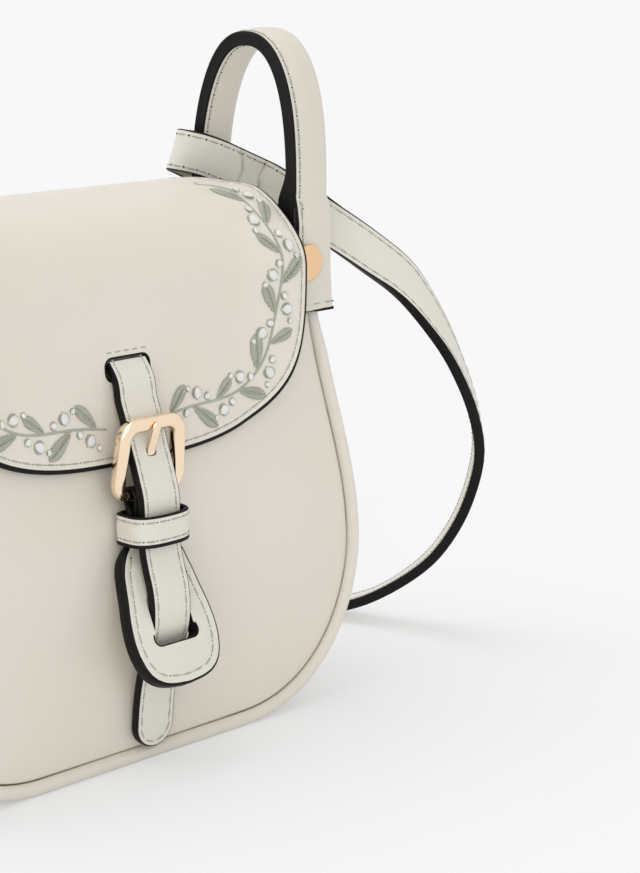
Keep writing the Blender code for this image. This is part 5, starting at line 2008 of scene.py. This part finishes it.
@dataclass
class Handle:
    """One folded leather handle with its sewn tabs and rivets."""

    shop: Workshop
    side: Side
    inner_edge: float = 0.0754
    width: float = 0.015
    thickness: float = 0.0056
    top: float = 0.222
    span: float = 0.0524
    leg_top: float = 0.168
    arch_power: float = 2.3
    lean: float = 0.002
    tab_width: float = 0.0226
    tab_leather: float = 0.0024
    tab_bottom: float = 0.131
    tab_top: float = 0.151
    tab_step: float = 0.004
    tab_seam_low: float = 0.0026
    tab_seam_sides: tuple = (0.0035, 0.0025)
    tab_paint: float = 0.0008
    tab_paint_inset: float = 0.0002
    tab_paint_run: float = 0.0001
    leg_heights: tuple = (0.156, 0.1605)
    fold_ahead: float = 0.004
    fold_length: float = 0.012
    fold_out: float = 0.0006
    leg_share: float = 0.6
    rivet_height: float = 0.1475
    rivet_offset: float = 0.0790
    cap_diameter: float = 0.012
    cap_thickness: float = 0.0014
    cap_rim: float = 0.00045
    cap_crease: float = 0.0002
    dome_power: float = 0.8
    rivet_faces: int = 40
    shank: float = 0.0036
    seam_inset: float = 0.0021
    under_seam_rest: int = 12
    pinch: float = 0.0009
    pinch_reach: float = 0.0085
    foot_width: float = 0.0062
    foot_inset: float = 0.0002
    end_paint: float = 0.0004
    foot_route: tuple = (
        (0.1785, 0.0207, 0.0214), (0.1755, 0.0201, 0.0216), (0.1725, 0.0191, 0.0222),
        (0.1700, 0.0179, 0.0231), (0.1680, 0.0171, 0.0239), (0.1660, 0.0168, 0.0244),
        (0.1640, 0.0170, 0.0245), (0.1620, 0.0177, 0.0245), (0.1588, 0.0194, 0.0245))

    def stations(self) -> Array:
        """Lay out one half of the handle, from a tab's lower end to the top of the arch.

        Returns:
            Rows of outer y and z, inner y and z, extra width and share of the fold.
        """
        half = self.span / 2
        flare = self.tab_width - self.width
        narrowing = self.tab_top - flare
        rows = []
        lower = np.append(self.tab_bottom + self.tab_step * np.arange(3), narrowing)
        for height in (*lower, *np.linspace(narrowing, self.tab_top, 8)[1:], *self.leg_heights):
            inner = float(SHAPE.back_depth(height)) + SHAPE.gap
            widening = flare * (1 - float(ease(height, narrowing, self.tab_top - narrowing)))
            out = self.fold_out * self.leg_share * float(ease(height, self.tab_top, self.fold_length))
            folded = float(ease(height, self.tab_top - self.fold_ahead, self.fold_length))
            rows.append((inner + self.tab_leather + out, height, inner, height, widening, folded))
        low = SHAPE.back_height + 2 * SHAPE.gap
        rows.append((half + self.fold_out, low, SHAPE.top_depth / 2 + SHAPE.gap, low, 0, 1))
        rise = self.top - self.leg_top
        power = 2 / self.arch_power
        for angle in np.radians(90) * np.linspace(0, 1, 40):
            along = math.cos(angle) ** power
            up = math.sin(angle) ** power
            rows.append((half * along, self.leg_top + rise * up, (half - self.thickness) * along,
                         self.leg_top + (rise - self.thickness) * up, 0, 1))
        return np.array(rows)

    def leather(self) -> None:
        """Make the folded strip with its seam."""
        shop = self.shop
        back = self.stations()
        table = np.vstack([back, back[::-1][1:] * (-1, 1, -1, 1, 1, 1)])
        for column in (0, 2):
            table[:, column] -= self.lean * ease(table[:, column + 1], self.leg_top, self.top - self.leg_top)
        middle = (table[:, :2] + table[:, 2:4]) / 2
        thick = np.linalg.norm(table[:, :2] - table[:, 2:4], axis=1)
        lay = Lay(np.column_stack([np.zeros(len(middle)), middle]), (1, 0, 0))
        low = np.column_stack([self.inner_edge - table[:, 4], lay.runs])
        high = np.column_stack([np.full(len(table), self.inner_edge + self.width), lay.runs])
        flat = Rim(bevel=0.0006, seam=self.seam_inset, press=0.0002, settle=0.0042, groove=0.0005)
        fold = Rim(bevel=0.0026, seam=0.0036, press=0.0, settle=0.0046)
        word = self.side.word
        if self.side is Side.RIGHT:
            cuts = {"right": high, "left": low, "right_rim": fold, "left_rim": flat}
        else:
            cuts = {"right": low * (-1, 1), "left": high * (-1, 1), "right_rim": flat, "left_rim": fold}

        def relief(across: Array, along: Array) -> Array:
            """The outer face's fall from the full fold to the sewn edge.

            Args:
                across: Distances from the bag's middle plane.
                along: Distances along the handle.

            Returns:
                Heights above the flat leather.
            """
            away = np.abs(across) - self.inner_edge
            folded = np.interp(along, lay.runs, table[:, 5])
            return -self.pinch * folded * (1 - ease(away, 0.0, self.pinch_reach))

        hide = Hide("side_handle_leather_" + word, lay, cuts["right"], cuts["left"], thick, columns=10,
                    right_rim=cuts["right_rim"], left_rim=cuts["left_rim"], crown=0.00012, relief=relief)
        piece = self.fold_painted(hide)
        shop.dress(piece, "bag", "pale_leather", "side_handle_" + word)
        near, under = (hide.seam(self.seam_inset, front=front)[1 if self.side is Side.RIGHT else 0]
                       for front in (True, False))
        lines = [near, under[self.under_seam_rest:-self.under_seam_rest]]
        tab_edge = self.inner_edge - (self.tab_width - self.width)
        fold_edge = self.inner_edge + self.width
        level = self.tab_leather / 2
        seam_near, seam_far = self.tab_seam_sides
        for run in (self.tab_seam_low, lay.length - self.tab_seam_low):
            ends = (tab_edge + seam_near, fold_edge - seam_far)
            lines.append(np.array([(x * self.side.value, run, level) for x in ends]))
        shop.dress(shop.sew("side_handle_seam_" + word, lay, lines), "bag", "pale_leather")
        ends = np.sort(self.side.value * np.linspace(
            tab_edge + self.tab_paint_inset, fold_edge - self.tab_paint_inset, 12))
        for facing, run, turn in ((Facing.BACK, self.tab_paint_run, 1),
                                  (Facing.FRONT, lay.length - self.tab_paint_run, -1)):
            line = np.column_stack([ends[::-turn], np.full(len(ends), run)])
            strip = paint_strip(f"handle_tab_paint_{facing.word}_{word}", lay, line, self.tab_paint, level,
                                shop.palette["painted_edge"], closed=False)
            shop.dress(strip, "bag", "pale_leather")

    def foot(self) -> None:
        """Make the inner layer of the front leg, that spreads and goes down behind the front panel."""
        rows = smooth_rows(self.foot_route, 0.0008, 1)
        lay = Closure.upright(np.column_stack([(rows[:, 1] + rows[:, 2]) / 2, rows[:, 0]]))
        near = self.inner_edge + self.foot_inset
        edges = sorted((self.side.value * near, self.side.value * (near + self.foot_width)))
        low, high = (np.column_stack([np.full(len(rows), edge), lay.runs]) for edge in edges)
        hide = Hide("side_handle_foot_" + self.side.word, lay, high, low, rows[:, 2] - rows[:, 1], columns=4)
        # The foot takes the darker copy of the pale leather: painted shade
        piece = hide.build(self.shop.palette["folded_leather_skin"], self.shop.palette["painted_edge"])
        self.shop.dress(piece, "bag", "pale_leather")

    def fold_painted(self, hide: Hide) -> Piece:
        """Build the strip with its fold left bare of paint.

        Args:
            hide: The strip.

        Returns:
            The finished strip.
        """
        # The strip takes the darker copy of the pale leather: painted shade on the handle
        item = hide.build(self.shop.palette["folded_leather_skin"], self.shop.palette["painted_edge"])
        limit = self.inner_edge + self.width / 2
        for face in item.data.polygons:
            if abs(face.center.x) > limit and face.center.z > self.tab_bottom + self.end_paint:
                face.material_index = 0
        return item

    def rivet(self, facing: Facing) -> None:
        """Make one rivet with its domed cap.

        Args:
            facing: Whether it is the front or the back one.
        """
        inside = float(SHAPE.depth(facing, self.rivet_height)) - SHAPE.leather
        low = float(SHAPE.back_depth(self.rivet_height)) + 2 * SHAPE.gap + self.tab_leather
        cap = self.cap_diameter / 2
        rim, crease = self.cap_rim, self.cap_crease
        profile = [(inside, 0.0), (inside, self.shank / 2), (low, self.shank / 2), (low, cap - crease)]
        for angle in np.radians((20, 45, 70, 90)):
            profile.append((low + rim * (1 - math.cos(angle)) + crease / 2,
                            cap - crease * (1 - math.sin(angle))))
        rise = self.cap_thickness - rim - crease / 2
        for angle in np.radians(90) * np.linspace(0, 1, 12)[1:]:
            domed = rise * math.sin(angle) ** self.dome_power
            profile.append((low + rim + crease / 2 + domed, cap * math.cos(angle)))
        build = bmesh.new()
        turns = math.tau * np.arange(self.rivet_faces) / self.rivet_faces
        rings = []
        for reach, radius in profile:
            spokes = turns if radius > WELD_DISTANCE else turns[:1]
            rings.append([build.verts.new((
                self.side.value * self.rivet_offset + radius * math.cos(turn), facing.value * reach,
                self.rivet_height + radius * math.sin(turn))) for turn in spokes])
        for near, far in zip(rings, rings[1:]):
            for step in range(len(turns)):
                beside = (step + 1) % len(turns)
                corners = [near[step % len(near)], near[beside % len(near)], far[beside % len(far)],
                           far[step % len(far)]]
                build.faces.new(list(dict.fromkeys(corners)))
        name = f"rivet_{facing.word}_{self.side.word}"
        item = finish_mesh(name + "_polished", build, [self.shop.palette["rivet_plate"]], 40)
        self.shop.dress(item, "bag", "rose_gold", name)

    def build(self) -> None:
        """Make and dress the handle and its rivets."""
        self.leather()
        self.foot()
        for facing in Facing:
            self.rivet(facing)


@dataclass
class ShoulderStrap:
    """The long strap that lies behind the bag, and its two sewn ends."""

    shop: Workshop
    width: float = 0.014
    leather: float = 0.0032
    full_leather: float = 0.0036
    full_reach: float = 0.024
    seam_inset: float = 0.0017
    end_lean: float = 0.30
    dent_run: float = 0.0143
    dent_depth: float = 0.0015
    dent_shares: tuple = (0.8, 0.75)
    dent_skew: float = 0.25
    dimple_reach: float = 0.0042
    dimple_fade: float = 0.4
    crease_away: float = 0.0030
    crease_width: float = 0.0005
    crease_spread: float = 0.3
    bell_rows: tuple = (0.012, 0.046, 0.022)
    route: tuple = (
        (0.09855, 0.00227, 0.16539, 0.00, 45), (0.10296, -0.00179, 0.16175, 0.00, 45),
        (0.1095, -0.0085, 0.1550, 0.04, 45), (0.1205, -0.0155, 0.1455, 0.16, 45),
        (0.1320, -0.0220, 0.1345, 0.34, 45), (0.1430, -0.0281, 0.1170, 0.54, 45),
        (0.1500, -0.0315, 0.1020, 0.70, 45), (0.1550, -0.0335, 0.0880, 0.80, 45),
        (0.1582, -0.0335, 0.0740, 0.90, 45), (0.1592, -0.0300, 0.0600, 0.97, 44),
        (0.1588, -0.0236, 0.0450, 1.00, 42), (0.1578, -0.0130, 0.0300, 1.00, 38),
        (0.1545, 0.0000, 0.0180, 1.00, 30), (0.1500, 0.0150, 0.0085, 1.00, 22),
        (0.1448, 0.0310, 0.0036, 1.00, 20), (0.1370, 0.0510, 0.0022, 1.00, 26),
        (0.1235, 0.0710, 0.0022, 1.00, 38), (0.1030, 0.0890, 0.0022, 1.00, 52),
        (0.0760, 0.1030, 0.0022, 1.00, 66), (0.0400, 0.1115, 0.0022, 1.00, 80),
        (0.0000, 0.1140, 0.0022, 1.00, 90))
    end_route: tuple = (
        (0.0983, 0.0025, 0.1656), (0.0936, 0.00685, 0.1695), (0.0865, 0.0110, 0.1735),
        (0.0790, 0.0144, 0.1774), (0.0735, 0.0170, 0.1798), (0.0698, 0.0206, 0.1810),
        (0.0696, 0.0250, 0.1810), (0.0725, 0.0282, 0.1798), (0.0780, 0.0290, 0.1776),
        (0.0860, 0.0294, 0.1742), (0.0918, 0.0286, 0.1724), (0.0948, 0.0242, 0.1710),
        (0.0949, 0.0172, 0.1696), (0.0949, 0.0118, 0.1686))

    def hide(self, name: str, lay: Lay) -> Hide:
        """Lay out a strip of the strap's leather.

        Args:
            name: Its name.
            lay: The line that it follows.

        Returns:
            The strip.
        """
        run = lay.runs
        cut = np.column_stack([np.full(len(run), self.width / 2), run])
        rim = Rim(bevel=0.00045, seam=self.seam_inset, press=0.00016, settle=0.0032)
        return Hide(name, lay, cut, cut * (-1, 1), self.leather, right_rim=rim, left_rim=rim, columns=6,
                    crown=0.0001)

    def long_strap(self) -> None:
        """Make the free strap at its real length."""
        shop = self.shop
        right = smooth_rows(self.route, 0.0032)
        angle = np.radians(right[:, 4])
        lean = right[:, 3]
        wide = np.column_stack([lean * np.cos(angle), lean * np.sin(angle), 1 - lean])
        points = np.vstack([right[:, :3], right[::-1][1:, :3] * (-1, 1, 1)])
        across = np.vstack([wide, wide[::-1][1:] * (-1, 1, 1)])
        lay = Lay(points, across)
        hide = self.hide("shoulder_strap_leather", lay)
        from_end = np.minimum(lay.runs, lay.length - lay.runs)
        hide.thickness = mix(self.leather, self.full_leather, ease(from_end, 0.0, self.full_reach))
        piece = hide.build(shop.palette["pale_leather_skin"], shop.palette["painted_edge"])
        shop.dress(piece, "bag", "pale_leather", "shoulder_strap")
        lines = hide.seam(self.seam_inset) + hide.seam(self.seam_inset, front=False)
        seam = shop.dress(shop.sew("shoulder_strap_seam", lay, lines), "bag", "pale_leather")
        LOG.info("shoulder strap: %.3f m of strap", lay.length)

    def dent(self, across: Array, along: Array) -> Array:
        """The dimple and the two creases where the end is sewn down.

        Args:
            across: Distances from the strap's middle.
            along: Distances along the folded end.

        Returns:
            Heights above the flat leather.
        """
        away = along - self.dent_run - self.dent_skew * across
        dimple = np.exp(-(away / self.dimple_reach) ** 2)
        dimple = dimple * (1 - self.dimple_fade * (across / self.width * 2) ** 2)
        spread = self.crease_away + self.crease_spread * np.abs(across)
        creases = sum(np.exp(-((away - side * spread) / self.crease_width) ** 2) for side in (-1, 1))
        return self.dent_depth * (self.dent_shares[0] * dimple + self.dent_shares[1] * creases)

    def end(self, side: Side) -> None:
        """Make one sewn end, folded round the handle's back leg.

        Args:
            side: The side of the bag that it is on.
        """
        shop = self.shop
        points = smooth_rows(self.end_route, 0.0006) * (side.value, 1, 1)
        fold = run_of(points)
        rising, falling, length = self.bell_rows
        bell = ease(fold, rising, length) * (1 - ease(fold, falling, length))
        lean = self.end_lean * bell / math.sqrt(2)
        lay = Lay(points, np.column_stack([side.value * lean, -lean, np.ones(len(points))]))
        hide = self.hide("strap_end_leather_" + side.word, lay)
        hide.relief = self.dent
        hide.back_relief = True
        piece = hide.build(shop.palette["pale_leather_skin"], shop.palette["painted_edge"])
        shop.dress(piece, "bag", "pale_leather", "strap_end_" + side.word)
        lines = hide.seam(self.seam_inset) + hide.seam(self.seam_inset, front=False)
        shop.dress(shop.sew("strap_end_seam_" + side.word, lay, lines), "bag", "pale_leather")

    def build(self) -> None:
        """Make and dress the strap and both ends."""
        self.long_strap()
        for side in Side:
            self.end(side)


@dataclass
class Studio:
    """Camera, pale floor and soft light."""

    azimuth: float = math.radians(-45.0)
    elevation: float = math.radians(13.1)
    focal_pixels: float = 2233.0
    picture: tuple = (640, 873)
    tie_point: tuple = (0.0, -0.040, 0.0)
    tie_pixel: tuple = (157, 762)
    tie_depth: float = 0.6978
    backdrop: float = 0.9216
    floor_glow: float = 0.42
    sky: float = 0.62
    key: float = 1.15
    key_angle: float = 58.0
    key_direction: tuple = (-0.42, 0.38, 1.25)
    fill: float = 0.80
    fill_angle: float = 70.0
    fill_direction: tuple = (-0.50, -0.85, 0.22)
    sensor_height: float = 36.0
    floor_reach: float = 30.0
    floor_colour: tuple = (0.93, 0.935, 0.95, 1.0)

    def camera(self) -> None:
        """Put the camera where the photograph was taken from."""
        a, e = self.azimuth, self.elevation
        back = Vector((math.sin(a) * math.cos(e), -math.cos(a) * math.cos(e), math.sin(e)))
        right = Vector((math.cos(a), math.sin(a), 0))
        up = back.cross(right)
        wide, tall = self.picture
        shift_x = (self.tie_pixel[0] - wide / 2) / self.focal_pixels
        shift_y = (tall / 2 - self.tie_pixel[1]) / self.focal_pixels
        ray = -back + right * shift_x + up * shift_y
        place = Vector(self.tie_point) - ray * self.tie_depth
        data = bpy.data.cameras.new("photo_camera")
        data.sensor_fit = "VERTICAL"
        data.sensor_height = self.sensor_height
        data.lens = self.focal_pixels / tall * self.sensor_height
        data.clip_start = 0.01
        data.clip_end = 100.0
        item = bpy.data.objects.new("photo_camera", data)
        item.rotation_euler = back.to_track_quat("Z", "Y").to_euler()
        item.location = place
        bpy.context.scene.collection.objects.link(item)
        bpy.context.scene.camera = item

    def floor(self) -> None:
        """Lay the pale floor, which keeps the bag's shadow."""
        build = bmesh.new()
        corners = np.array(((-1, -1, 0), (1, -1, 0), (1, 1, 0), (-1, 1, 0))) * self.floor_reach
        build.faces.new([build.verts.new(corner) for corner in corners])
        finish = bpy.data.materials.new("pale_floor")
        finish.use_nodes = True
        tree = finish.node_tree
        shader = tree.nodes["Principled BSDF"]
        shader.inputs["Base Color"].default_value = self.floor_colour
        shader.inputs["Roughness"].default_value = 0.9
        shader.inputs["Specular IOR Level"].default_value = 0.0
        glow = add_node(tree, "ShaderNodeEmission", {"Color": (*[self.backdrop] * 3, 1.0)})
        seen = add_node(tree, "ShaderNodeLightPath").outputs
        rays = compute(tree, "MAXIMUM", seen["Is Camera Ray"], seen["Is Glossy Ray"])
        share = compute(tree, "MULTIPLY", rays, self.floor_glow)
        blend = add_node(tree, "ShaderNodeMixShader", {0: share, 1: shader.outputs[0], 2: glow.outputs[0]})
        tree.links.new(blend.outputs[0], tree.nodes["Material Output"].inputs["Surface"])
        item = finish_mesh("studio_floor", build, [finish])

    def light(self) -> None:
        """Light the bag softly and evenly."""
        world = bpy.data.worlds.new("studio_world")
        bpy.context.scene.world = world
        world.use_nodes = True
        tree = world.node_tree
        seen = add_node(tree, "ShaderNodeLightPath").outputs
        rays = compute(tree, "MAXIMUM", seen["Is Camera Ray"], seen["Is Glossy Ray"])
        rays = compute(tree, "MAXIMUM", rays, seen["Is Transmission Ray"])
        level = add_node(tree, "ShaderNodeMix", {0: rays, 2: self.sky, 3: self.backdrop}, data_type="FLOAT")
        ground = tree.nodes["Background"]
        ground.inputs["Color"].default_value = (1, 1, 1, 1)
        tree.links.new(level.outputs[0], ground.inputs["Strength"])
        for name, energy, angle, direction in (
                ("key_light", self.key, self.key_angle, self.key_direction),
                ("fill_light", self.fill, self.fill_angle, self.fill_direction)):
            lamp = bpy.data.lights.new(name, "SUN")
            lamp.energy = energy
            lamp.angle = math.radians(angle)
            item = bpy.data.objects.new(name, lamp)
            item.rotation_euler = Vector(direction).to_track_quat("Z", "Y").to_euler()
            bpy.context.scene.collection.objects.link(item)

    def build(self) -> None:
        """Set the camera, the floor and the light."""
        bpy.context.scene.view_settings.view_transform = "Standard"
        self.camera()
        self.floor()
        self.light()


def main() -> None:
    """Build every sub-assembly in order."""
    logging.basicConfig(level=logging.INFO, format="%(name)s: %(message)s")
    Studio().build()
    shop = Workshop()
    ShoulderStrap(shop).build()
    Shell(shop).build()
    Flap(shop).build()
    Closure(shop).build()
    for side in Side:
        Handle(shop, side).build()


if __name__ == "__main__":
    main()
